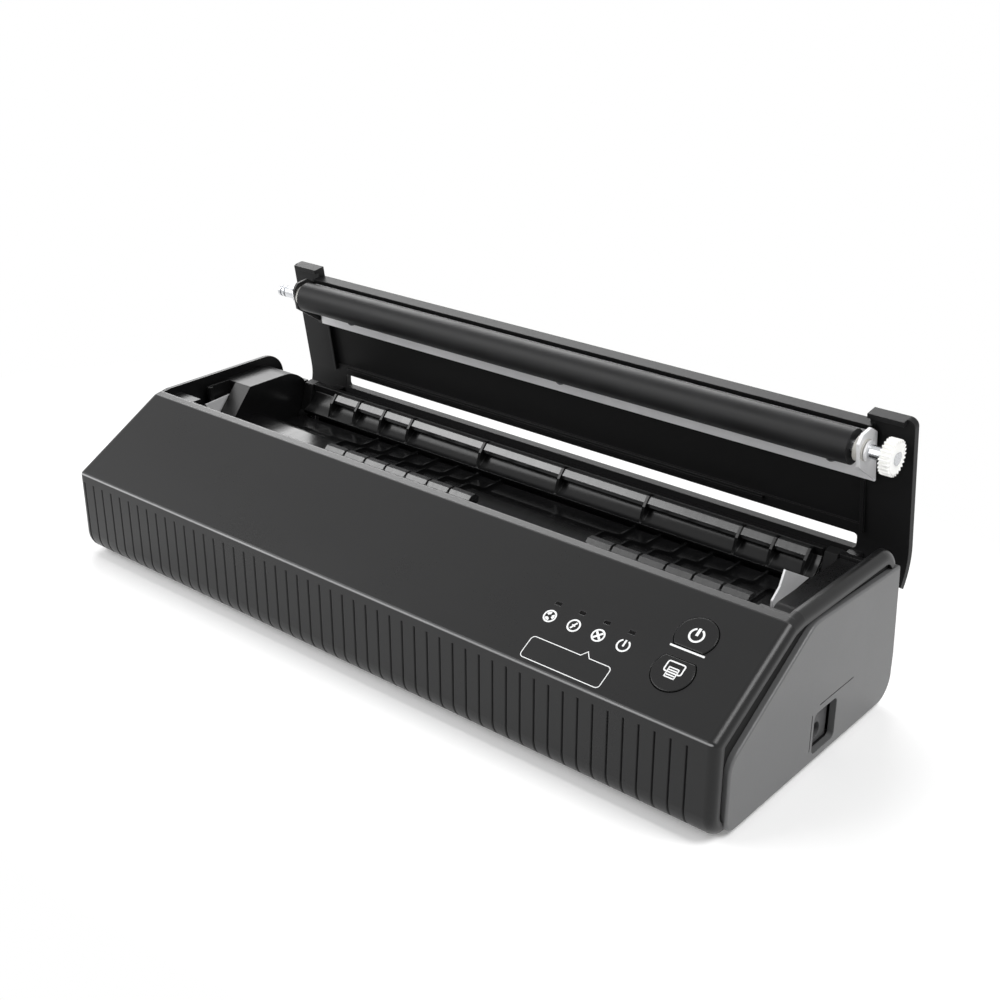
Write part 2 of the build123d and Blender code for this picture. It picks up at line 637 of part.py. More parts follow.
# ---- base tray with its upstanding rims, screw wells and board posts ----
with BuildPart() as base_tray:
    with BuildSketch(Plane.XY.offset(FOOT_H)):
        with Locations((0, FRONT + (TRAY_Y0 + TRAY_Y1) / 2)):
            Rectangle(2 * (BULK_IN - TRAY_GAP), TRAY_Y1 - TRAY_Y0 - 2 * TRAY_GAP)
    extrude(amount=TRAY_T)
    with BuildSketch(Plane.XY.offset(FOOT_H + TRAY_T)):
        with Locations((0, FRONT + (TRAY_Y0 + TRAY_Y1) / 2)):
            Rectangle(2 * (BLOCK_X - TRAY_GAP), TRAY_Y1 - TRAY_Y0 - 2 * TRAY_GAP)
            Rectangle(
                2 * BLOCK_X,
                TRAY_Y1 - TRAY_Y0 - 2 * (TRAY_GAP + TRAY_RIM_T),
                mode=Mode.SUBTRACT,
            )
    extrude(amount=TRAY_RIM_H)
    # tongues that lap over the case edge at front and rear and take the screws
    with BuildSketch(Plane.XY.offset(FOOT_H + WALL)):
        for x in SCREW_X:
            with Locations((x, FRONT + TRAY_Y0), (x, FRONT + TRAY_Y1)):
                Rectangle(TONGUE_W, 2 * TONGUE_L)
    extrude(amount=TONGUE_T)
    with BuildSketch(Plane.XY.offset(FOOT_H)):
        with Locations(*SCREW_SPOTS):
            Circle(SCREW_R)
    extrude(amount=WALL + TONGUE_T, mode=Mode.SUBTRACT)
    # foot recesses
    with BuildSketch(Plane.XY.offset(FOOT_H)):
        with Locations((0, FRONT + (TRAY_Y0 + TRAY_Y1) / 2)):
            with GridLocations(FOOT_PITCH_X, FOOT_PITCH_Y, 2, 2):
                Circle(FOOT_R)
    extrude(amount=FOOT_SINK, mode=Mode.SUBTRACT)
    # posts for the main board
    with BuildSketch(Plane.XY.offset(FOOT_H + TRAY_T)):
        with Locations((MAIN_X, FRONT + MAIN_Y)):
            with GridLocations(MAIN_L - 2 * BOARD_IN, MAIN_W - 2 * BOARD_IN, 2, 2):
                Circle(KEY_STEM_R)
    extrude(amount=POST_H)
base_tray.part.label = "base_tray"
export_step(base_tray.part, "parts/base_tray.step")

with BuildPart() as feet:
    with BuildSketch(Plane.XY):
        with Locations((0, FRONT + (TRAY_Y0 + TRAY_Y1) / 2)):
            with GridLocations(FOOT_PITCH_X, FOOT_PITCH_Y, 2, 2):
                Circle(FOOT_R)
    extrude(amount=FOOT_H + FOOT_SINK)
    chamfer(feet.faces().filter_by(Axis.Z).group_by(Axis.Z)[0].edges(), FOOT_H / 4)
feet.part.label = "feet"
export_step(feet.part, "parts/feet.step")

with BuildPart() as case_screws:
    with BuildSketch(Plane.XY.offset(FOOT_H)):
        with Locations(*SCREW_SPOTS):
            Circle(SCREW_R)
    extrude(amount=WALL + TONGUE_T)
case_screws.part.label = "case_screws"
export_step(case_screws.part, "parts/case_screws.step")

# ---- end block on the left: hollow, with a front leg and a pocket for the roller end ----
BLOCK_CORNERS = [
    at(POCKET_Y, TRAY_T),
    at(POCKET_Y, POCKET_Z),
    at(POCKET_BACK, POCKET_Z),
    at(LEG_Y, LEG_Z),
    at(BLOCK_FRONT, BLOCK_TOP),
    at(BLOCK_REAR, BLOCK_TOP),
    at(BODY_D + WALL, BLOCK_TOP - BLOCK_FALL),
    at(BODY_D + WALL, TRAY_T),
]
with BuildSketch() as block_outline:
    Polygon(*BLOCK_CORNERS)
    soften(block_outline, BLOCK_CORNERS[5], BLOCK_REAR_R)
    add(case_inside.sketch, mode=Mode.INTERSECT)
with BuildPart() as left_end_block:
    with BuildSketch(side(-BULK_IN)):
        add(block_outline.sketch)
    extrude(amount=BULK_IN - BLOCK_X)
    with BuildSketch(side(-BULK_IN)):
        offset(block_outline.sketch, amount=-BLOCK_WALL)
    extrude(amount=BULK_IN - BLOCK_X - BLOCK_WALL, mode=Mode.SUBTRACT)
    # beside the leg the front stands open down to the pocket floor
    with BuildSketch(side(-BULK_IN)):
        with BuildLine():
            Polyline(
                at(POCKET_BACK - BLOCK_WALL, POCKET_Z),
                at(BLOCK_FRONT, POCKET_Z),
                at(BLOCK_FRONT, BODY_H),
                at(POCKET_BACK - BLOCK_WALL, BODY_H),
                close=True,
            )
        make_face()
    extrude(amount=BULK_IN - LEG_X, mode=Mode.SUBTRACT)
    with BuildSketch(side(-BULK_IN)):
        with Locations(at(BLOCK_FRONT, POCKET_Z)):
            Rectangle(BLOCK_WALL, BLOCK_TOP - POCKET_Z, align=(Align.MIN, Align.MIN))
        with Locations(at(POCKET_BACK - 2 * BLOCK_WALL, POCKET_Z)):
            Rectangle(
                BLOCK_FRONT - POCKET_BACK + 3 * BLOCK_WALL,
                BLOCK_WALL,
                align=(Align.MIN, Align.MAX),
            )
    extrude(amount=BULK_IN - BLOCK_X)
    # guard rib with a curled front end
    with BuildSketch(Plane.XY.offset(FOOT_H + POCKET_Z)):
        with BuildLine():
            rib_a = Line((-HOOK_X, FRONT + BLOCK_FRONT + BLOCK_WALL / 2), (-HOOK_X, FRONT + HOOK_Y))
            TangentArc(rib_a @ 1, (-HOOK_X + 2 * HOOK_R, FRONT + HOOK_Y), tangent=rib_a % 1)
            offset(amount=HOOK_T / 2, side=Side.BOTH)
        make_face()
    extrude(amount=BLOCK_TOP - POCKET_Z)
    # seat of the hinge pin
    with BuildSketch(side(-BLOCK_X)):
        with Locations(at(HINGE_Y, HINGE_Z)):
            Circle(PIN_R + 0.9)
    extrude(amount=-PIN_SEAT)
    with BuildSketch(side(-BLOCK_X)):
        with Locations(at(HINGE_Y, HINGE_Z)):
            Circle(PIN_R)
    extrude(amount=-PIN_SEAT, mode=Mode.SUBTRACT)
left_end_block.part.label = "left_end_block"
export_step(left_end_block.part, "parts/left_end_block.step")

# ---- steel plate standing in the left pocket ----
with BuildPart() as left_latch_plate:
    with BuildSketch(side(-LATCH_X)):
        Polygon(
            at(LATCH_Y, LATCH_Z),
            at(LATCH_Y + LATCH_L, LATCH_Z + 1.0),
            at(LATCH_Y + LATCH_L, POCKET_Z),
            at(LATCH_Y + LATCH_L / 4, POCKET_Z),
        )
    extrude(amount=LATCH_T)
left_latch_plate.part.label = "left_latch_plate"
export_step(left_latch_plate.part, "parts/left_latch_plate.step")

# ---- gear centres ----
ROLL_CLOSED = at(HINGE_Y - ROLL_U, HINGE_Z + ROLL_W)
ADDENDUM = 0.9 * MODULE
PLATEN_R = PLATEN_TEETH * MODULE / 2
OUTPUT_R = OUTPUT_TEETH * MODULE / 2
IDLER_R = IDLER_TEETH * MODULE / 2
PINION_R = PINION_TEETH * MODULE / 2
OUTPUT_AT = (ROLL_CLOSED[0], ROLL_CLOSED[1] - PLATEN_R - OUTPUT_R - 2 * ADDENDUM - TIP_GAP)
IDLER_AT = (
    OUTPUT_AT[0] + (OUTPUT_R + IDLER_R) * math.cos(math.radians(IDLER_ANGLE)),
    OUTPUT_AT[1] + (OUTPUT_R + IDLER_R) * math.sin(math.radians(IDLER_ANGLE)),
)
MOTOR_AT = (
    IDLER_AT[0] + (IDLER_R + PINION_R) * math.cos(math.radians(MOTOR_ANGLE)),
    IDLER_AT[1] + (IDLER_R + PINION_R) * math.sin(math.radians(MOTOR_ANGLE)),
)

MOTOR_R = MOTOR_AT[1] - FOOT_H - TRAY_T - MOTOR_CLEAR

# ---- housing over the gear train on the right ----
HOUSING_CORNERS = [
    at(POCKET_Y, TRAY_T),
    at(POCKET_Y, POCKET_Z),
    at(POCKET_BACK, POCKET_Z),
    at(POCKET_BACK + BLOCK_WALL, HOUSING_TOP),
    at(BODY_D + WALL, HOUSING_TOP),
    at(BODY_D + WALL, TRAY_T),
]
with BuildSketch() as housing_outline:
    Polygon(*HOUSING_CORNERS)
    soften(housing_outline, HOUSING_CORNERS[3], 2 * BLOCK_WALL)
    add(case_inside.sketch, mode=Mode.INTERSECT)
with BuildPart() as right_end_housing:
    with BuildSketch(side(BLOCK_X)):
        add(housing_outline.sketch)
    extrude(amount=BULK_IN - BLOCK_X)
    with BuildSketch(side(BLOCK_X + BLOCK_WALL)):
        offset(housing_outline.sketch, amount=-BLOCK_WALL)
    extrude(amount=BULK_IN - BLOCK_X - BLOCK_WALL, mode=Mode.SUBTRACT)
    # the front pocket stands open over the output gear
    with BuildSketch(side(PLATE_X - PANEL_GAP)):
        with Locations(at(POCKET_Y + BLOCK_WALL, POCKET_Z - 2 * BLOCK_WALL)):
            Rectangle(POCKET_BACK - POCKET_Y - BLOCK_WALL, 3 * BLOCK_WALL, align=(Align.MIN, Align.MIN))
        with Locations(at(POCKET_Y, POCKET_Z - 2 * BLOCK_WALL)):
            Rectangle(BLOCK_WALL, 3 * BLOCK_WALL, align=(Align.MIN, Align.MIN))
    extrude(amount=BULK_IN - PLATE_X + PANEL_GAP, mode=Mode.SUBTRACT)
    # room for the power socket in the lower wall
    with BuildSketch(side(PLATE_X + PLATE_T)):
        with Locations(at(JACK_Y, 0)):
            Rectangle(JACK_W + PANEL_GAP, JACK_Z1 + PANEL_GAP, align=(Align.CENTER, Align.MIN))
    extrude(amount=BULK_IN - PLATE_X, mode=Mode.SUBTRACT)
    # the motor reaches inboard through the inner wall
    with BuildSketch(side(BLOCK_X)):
        with Locations(MOTOR_AT):
            Circle(MOTOR_R + PANEL_GAP)
    extrude(amount=BLOCK_WALL, mode=Mode.SUBTRACT)
    # seat of the hinge pin
    with BuildSketch(side(BLOCK_X)):
        with Locations(at(HINGE_Y, HINGE_Z)):
            Circle(PIN_R + 0.9)
    extrude(amount=PIN_SEAT)
    with BuildSketch(side(BLOCK_X)):
        with Locations(at(HINGE_Y, HINGE_Z)):
            Circle(PIN_R)
    extrude(amount=PIN_SEAT, mode=Mode.SUBTRACT)
right_end_housing.part.label = "right_end_housing"
export_step(right_end_housing.part, "parts/right_end_housing.step")

with BuildPart() as hinge_pins:
    for x0 in (-BLOCK_X - PIN_SEAT, ARM_X0 - PANEL_GAP):
        with BuildSketch(side(x0)):
            with Locations(at(HINGE_Y, HINGE_Z)):
                Circle(PIN_R)
        extrude(amount=BLOCK_X + PIN_SEAT - ARM_X0 + PANEL_GAP)
hinge_pins.part.label = "hinge_pins"
export_step(hinge_pins.part, "parts/hinge_pins.step")

# ---- front guide: flat behind the print head, then a trough, with curved ribs ----
with BuildLine() as guide_line:
    FilletPolyline(
        at(GUIDE_Y0, GUIDE_FLAT),
        at(GUIDE_Y0 + GUIDE_RUN, GUIDE_FLAT),
        at(GUIDE_Y0 + GUIDE_RUN + GUIDE_RAMP, GUIDE_FLAT - GUIDE_DIP),
        at(GUIDE_Y1, GUIDE_FLAT - GUIDE_DIP),
        radius=GUIDE_BEND,
    )
with BuildSketch() as guide_sheet:
    with BuildLine():
        add(guide_line.line)
        offset(amount=GUIDE_T, side=Side.RIGHT)
    make_face()
with BuildSketch() as guide_rib:
    with BuildLine():
        add(guide_line.line)
        offset(amount=RIB_H, side=Side.LEFT)
    make_face()
    with Locations((at(RIB_Y0, 0))):
        Rectangle(BODY_D, 4 * BODY_H, align=(Align.MAX, Align.CENTER), mode=Mode.SUBTRACT)
with BuildPart() as front_guide:
    with BuildSketch(side(-GUIDE_X)):
        add(guide_sheet.sketch)
    extrude(amount=2 * GUIDE_X)
    with BuildSketch(side(-BLOCK_X)):
        add(guide_sheet.sketch)
        with Locations((at(GUIDE_SPLIT, 0))):
            Rectangle(BODY_D, 4 * BODY_H, align=(Align.MIN, Align.CENTER), mode=Mode.SUBTRACT)
    extrude(amount=2 * BLOCK_X)
    for first in (RIB_LEFT, RIB_RIGHT):
        for k in range(RIB_N):
            with BuildSketch(side(first + k * RIB_PITCH - RIB_T / 2)):
                add(guide_rib.sketch)
            extrude(amount=RIB_T)
front_guide.part.label = "front_guide"
export_step(front_guide.part, "parts/front_guide.step")

# ---- rear guide: a concave strip against the rear wall, stiffened by gussets ----
with BuildPart() as rear_guide:
    with BuildSketch(side(-GUIDE_X)) as rear_sheet:
        with BuildLine():
            RadiusArc(at(REAR_GUIDE_Y, REAR_GUIDE_Z), at(BODY_D - REAR_IN, REAR_GUIDE_TOP + 2), -REAR_GUIDE_R)
            offset(amount=GUIDE_T, side=Side.RIGHT)
        make_face()
        add(case_inside.sketch, mode=Mode.INTERSECT)
        with Locations(at(0, REAR_GUIDE_TOP)):
            Rectangle(3 * BODY_D, BODY_H, align=(Align.CENTER, Align.MIN), mode=Mode.SUBTRACT)
    extrude(amount=2 * GUIDE_X)
    for x in GUSSET_X:
        with BuildSketch(side(x - GUSSET_T / 2)):
            Polygon(
                at(REAR_GUIDE_Y + 0.4, REAR_GUIDE_Z),
                at(REAR_GUIDE_Y + 2.4, REAR_GUIDE_TOP - 3.6),
                at(REAR_GUIDE_Y + 5.6, REAR_GUIDE_TOP),
                at(BODY_D, REAR_GUIDE_TOP),
                at(BODY_D, REAR_GUIDE_TOP - 4.0),
                at(REAR_GUIDE_Y + 4.0, REAR_GUIDE_Z),
            )
            add(case_inside.sketch, mode=Mode.INTERSECT)
        extrude(amount=GUSSET_T)
rear_guide.part.label = "rear_guide"
export_step(rear_guide.part, "parts/rear_guide.step")

# ---- print head on its finned sink and carrier ----
with BuildPart() as print_head:
    with BuildSketch(side(-HEAD_X)):
        Polygon(
            at(HEAD_Y0, HEAD_BASE),
            at(HEAD_Y0, HEAD_BASE + 2.0),
            at(HINGE_Y - ROLL_U - 2.0, HEAD_TOP - 0.6),
            at(HINGE_Y - ROLL_U, HEAD_TOP),
            at(HINGE_Y - ROLL_U + 2.0, HEAD_TOP - 0.6),
            at(HEAD_Y1, HEAD_BASE + 2.0),
            at(HEAD_Y1, HEAD_BASE),
        )
    extrude(amount=2 * HEAD_X)
print_head.part.label = "print_head"
export_step(print_head.part, "parts/print_head.step")

with BuildPart() as head_heat_sink:
    with BuildSketch(side(-HEAD_X)):
        with Locations(at(HEAD_Y0, HEAD_BASE)):
            Rectangle(HEAD_Y1 - HEAD_Y0, SINK_FIN * 1.5, align=(Align.MIN, Align.MAX))
        for k in range(5):
            with Locations(at(HEAD_Y0 + 2 + k * SINK_GAP, SINK_BASE)):
                Rectangle(SINK_FIN, HEAD_BASE - SINK_BASE, align=(Align.MIN, Align.MIN))
    extrude(amount=2 * HEAD_X)
head_heat_sink.part.label = "head_heat_sink"
export_step(head_heat_sink.part, "parts/head_heat_sink.step")

with BuildPart() as head_carrier:
    with BuildSketch(side(-HEAD_X)):
        with Locations(at(HEAD_Y0 + CARRIER_IN, TRAY_T)):
            Rectangle(HEAD_Y1 - HEAD_Y0 - 2 * CARRIER_IN, SINK_BASE - TRAY_T, align=(Align.MIN, Align.MIN))
        with Locations(at(HEAD_Y0 + CARRIER_IN + CARRIER_T, TRAY_T)):
            Rectangle(
                HEAD_Y1 - HEAD_Y0 - 2 * (CARRIER_IN + CARRIER_T),
                SINK_BASE - TRAY_T - CARRIER_T,
                align=(Align.MIN, Align.MIN),
                mode=Mode.SUBTRACT,
            )
    extrude(amount=2 * HEAD_X)
head_carrier.part.label = "head_carrier"
export_step(head_carrier.part, "parts/head_carrier.step")

with BuildPart() as image_sensor:
    with BuildSketch(side(-SENSOR_X)):
        with Locations(at(SENSOR_Y0, SENSOR_Z)):
            Rectangle(SENSOR_Y1 - SENSOR_Y0, GUIDE_FLAT - GUIDE_T - SENSOR_Z, align=(Align.MIN, Align.MIN))
    extrude(amount=2 * SENSOR_X)
image_sensor.part.label = "image_sensor"
export_step(image_sensor.part, "parts/image_sensor.step")

# ---- boards ----
with BuildPart() as main_board:
    with BuildSketch(Plane.XY.offset(FOOT_H + TRAY_T + POST_H)):
        with Locations((MAIN_X, FRONT + MAIN_Y)):
            Rectangle(MAIN_L, MAIN_W)
    extrude(amount=MAIN_T)
    with BuildSketch(Plane.XY.offset(FOOT_H + TRAY_T + POST_H + MAIN_T)):
        for dx, dy, w, h in ((-35.0, 4.0, 14.0, 14.0), (-8.0, -3.0, 9.0, 12.0), (22.0, 4.0, 16.0, 8.0)):
            with Locations((MAIN_X + dx, FRONT + MAIN_Y + dy)):
                Rectangle(w, h)
    extrude(amount=MAIN_T)
main_board.part.label = "main_board"
export_step(main_board.part, "parts/main_board.step")

with BuildPart() as key_board:
    with BuildSketch(slope_plane(BOARD_MID_X, BOARD_MID_S, BOARD_DEPTH)):
        Rectangle(BOARD_W, BOARD_H)
    extrude(amount=-BOARD_T)
    for key_s in (POWER_S, COPY_S):
        with BuildSketch(slope_plane(SWITCH_X, key_s, BOARD_DEPTH)):
            Rectangle(SWITCH_A, SWITCH_A)
        extrude(amount=BOARD_DEPTH - KEY_STEM_END - KEY_TRAVEL - KEY_TICK)
key_board.part.label = "key_board"
export_step(key_board.part, "parts/key_board.step")

with BuildPart() as indicator_lights:
    with BuildSketch(slope_plane(LIGHT_MID, LIGHT_S)):
        with GridLocations(LIGHT_PITCH, 0, LIGHT_N, 1):
            Rectangle(LIGHT_W - 2 * PIN_RUN, LIGHT_H - 2 * PIN_RUN)
    extrude(amount=-BOARD_DEPTH)
indicator_lights.part.label = "indicator_lights"
export_step(indicator_lights.part, "parts/indicator_lights.step")

# ---- two D-shaped keys that face each other across their flats ----
for name, key_s, cut_s, keep in (
    ("power_button", POWER_S, POWER_CUT, 1),
    ("copy_button", COPY_S, COPY_CUT, -1),
):
    with BuildSketch() as key_face:
        Circle(KEY_R)
        with Locations((0, cut_s - key_s)):
            Rectangle(
                4 * KEY_R,
                2 * KEY_R,
                align=(Align.CENTER, Align.MAX if keep > 0 else Align.MIN),
                mode=Mode.SUBTRACT,
            )
    with BuildPart() as key:
        with BuildSketch(slope_plane(SWITCH_X, key_s, -KEY_PROUD)):
            add(key_face.sketch)
        extrude(amount=-KEY_PROUD - WALL - KEY_TICK)
        chamfer(key.faces().sort_by(Axis((0, 0, 0), slope_plane(0, 0).z_dir))[-1].edges(), KEY_PROUD / 2)
        with BuildSketch(slope_plane(SWITCH_X, key_s, WALL + KEY_TICK)):
            offset(key_face.sketch, amount=KEY_FLANGE)
        extrude(amount=-KEY_FLANGE_T)
        with BuildSketch(slope_plane(SWITCH_X, key_s, WALL + KEY_TICK)):
            Circle(KEY_STEM_R)
        extrude(amount=-(KEY_STEM_END - WALL - KEY_TICK))
    key.part.label = name
    export_step(key.part, "parts/" + name + ".step")

# ---- power socket behind the opening of the right side panel ----
with BuildPart() as power_inlet:
    with BuildSketch(side(SEAL_X - JACK_FACE)):
        with Locations(at(JACK_Y, (JACK_Z0 + JACK_Z1) / 2)):
            Rectangle(JACK_W - PANEL_GAP, JACK_Z1 - JACK_Z0 - PANEL_GAP)
    extrude(amount=-BODY_OF_JACK)
    with BuildSketch(side(SEAL_X - JACK_FACE)):
        with Locations(at(JACK_Y, JACK_Z + PANEL_GAP)):
            Circle(JACK_BORE_R)
    extrude(amount=-JACK_BORE_L, mode=Mode.SUBTRACT)
    with BuildSketch(side(SEAL_X - JACK_FACE - JACK_BORE_L)):
        with Locations(at(JACK_Y, JACK_Z + PANEL_GAP)):
            Circle(JACK_PIN_R)
    extrude(amount=JACK_PIN_L)
power_inlet.part.label = "power_inlet"
export_step(power_inlet.part, "parts/power_inlet.step")


# ---- gear train ----
def tooth_points(teeth, turn):
    """Outline of a spur gear as short chords along its involute flanks."""
    pitch = teeth * MODULE / 2
    base = pitch * math.cos(math.radians(20))
    root = pitch - 1.25 * MODULE
    tip = pitch + ADDENDUM
    lean = math.tan(math.radians(20)) - math.radians(20)
    half = math.pi / (2 * teeth) - BACKLASH / (2 * pitch) + lean
    flank = []
    for radius in (root, max(base, root), (max(base, root) + tip) / 2, tip):
        roll = math.acos(min(1.0, base / max(radius, base)))
        flank.append((radius, half - (math.tan(roll) - roll)))
    points = []
    for k in range(teeth):
        middle = 2 * math.pi * k / teeth + math.radians(turn)
        for radius, spread in flank:
            points.append((radius * math.cos(middle - spread), radius * math.sin(middle - spread)))
        for radius, spread in reversed(flank):
            points.append((radius * math.cos(middle + spread), radius * math.sin(middle + spread)))
    return [p for i, p in enumerate(points) if math.dist(p, points[i - 1]) > 1e-4]


IDLER_TURN = IDLER_ANGLE + 180
OUTPUT_TURN = IDLER_ANGLE + 180 / OUTPUT_TEETH
step_left = (MOTOR_ANGLE - IDLER_TURN) % (360 / IDLER_TEETH)
PINION_TURN = MOTOR_ANGLE + 180 + step_left * IDLER_TEETH / PINION_TEETH + 180 / PINION_TEETH

for name, teeth, turn, centre, bore, hub in (
    ("idler_gear", IDLER_TEETH, IDLER_TURN, IDLER_AT, AXLE_R + PIN_RUN, AXLE_R + 2.0),
    ("output_gear", OUTPUT_TEETH, OUTPUT_TURN, OUTPUT_AT, AXLE_R + PIN_RUN, AXLE_R + 1.6),
    ("motor_pinion", PINION_TEETH, PINION_TURN, MOTOR_AT, AXLE_R, 0.0),
):
    with BuildPart() as gear:
        with BuildSketch(Plane(side(GEAR_X).origin + Vector(0, *centre), x_dir=(0, 1, 0), z_dir=(1, 0, 0))):
            Polygon(*tooth_points(teeth, turn))
        extrude(amount=GEAR_T)
        if hub > 0:
            with BuildSketch(side(GEAR_X + GEAR_T)):
                with Locations(centre):
                    Circle(hub)
            extrude(amount=PLATE_T / 2)
        with BuildSketch(side(GEAR_X - 1)):
            with Locations(centre):
                Circle(bore)
        extrude(amount=GEAR_T + 3, mode=Mode.SUBTRACT)
    gear.part.label = name
    export_step(gear.part, "parts/" + name + ".step")

with BuildPart() as motor_bracket:
    with BuildSketch(side(PLATE_X)):
        offset(housing_outline.sketch, amount=-BLOCK_WALL)
        with Locations(at(BRACKET_Y1, 0)):
            Rectangle(BODY_D, 4 * BODY_H, align=(Align.MIN, Align.CENTER), mode=Mode.SUBTRACT)
        with Locations(MOTOR_AT):
            Circle(2 * AXLE_R, mode=Mode.SUBTRACT)
    extrude(amount=PLATE_T)
    with BuildSketch(side(PLATE_X + PLATE_T)):
        with Locations(OUTPUT_AT, IDLER_AT):
            Circle(AXLE_R + 1.0)
    extrude(amount=GEAR_X - PLATE_X - PLATE_T - PANEL_GAP)
    with BuildSketch(side(PLATE_X + PLATE_T)):
        with Locations(OUTPUT_AT, IDLER_AT):
            Circle(AXLE_R)
    extrude(amount=GEAR_X + GEAR_T + 1 - PLATE_X - PLATE_T)
motor_bracket.part.label = "motor_bracket"
export_step(motor_bracket.part, "parts/motor_bracket.step")

with BuildPart() as drive_motor:
    with BuildSketch(side(PLATE_X)):
        with Locations(MOTOR_AT):
            Circle(MOTOR_R)
    extrude(amount=-MOTOR_L)
    with BuildSketch(side(PLATE_X)):
        with Locations(MOTOR_AT):
            Circle(AXLE_R + PIN_RUN)
    extrude(amount=-MOTOR_L / 2, mode=Mode.SUBTRACT)
drive_motor.part.label = "drive_motor"
export_step(drive_motor.part, "parts/drive_motor.step")

with BuildPart() as motor_shaft:
    with BuildSketch(side(PLATE_X - MOTOR_L / 2 + 1)):
        with Locations(MOTOR_AT):
            Circle(AXLE_R)
    extrude(amount=GEAR_X + GEAR_T - PLATE_X + MOTOR_L / 2 - 1)
motor_shaft.part.label = "motor_shaft"
export_step(motor_shaft.part, "parts/motor_shaft.step")

# ---- bent steel leaf beside the right housing, standing on the front guide ----
with BuildPart() as right_latch_clip:
    with BuildSketch(side(LEAF_X)):
        Polygon(
            at(LEAF_Y, GUIDE_FLAT),
            at(LEAF_Y, GUIDE_FLAT + 4.0),
            at(LEAF_Y + 4.6, LEAF_TOP - 5.4),
            at(LEAF_Y + 7.3, LEAF_TOP),
            at(LEAF_Y + 24.4, LEAF_TOP - 9.8),
            at(LEAF_Y + 16.4, LEAF_TOP - 10.6),
            at(LEAF_Y + 14.2, GUIDE_FLAT),
        )
    extrude(amount=LEAF_T)
    with BuildSketch(side(LEAF_X)):
        with Locations(at(LEAF_Y + 1.5, GUIDE_FLAT)):
            Rectangle(11.0, LEAF_T, align=(Align.MIN, Align.MIN))
    extrude(amount=BLOCK_X - LEAF_X)
right_latch_clip.part.label = "right_latch_clip"
export_step(right_latch_clip.part, "parts/right_latch_clip.step")

# ---- lid: plate with rear curl, tabs, exit slot, lips, ribs and hinge arms ----
LID_UP = Vector(0, math.sin(LEAN), math.cos(LEAN))
HINGE = Vector(0, *at(HINGE_Y, HINGE_Z))
ROLL_OPEN = lid_plane(0).from_local_coords(Vector(ROLL_U, ROLL_W, 0))


def lid_level(w):
    """A plane parallel to the lid plate: X across, minus u upward on the sheet."""
    return Plane(origin=HINGE + LID_UP * w, x_dir=(1, 0, 0), z_dir=LID_UP)


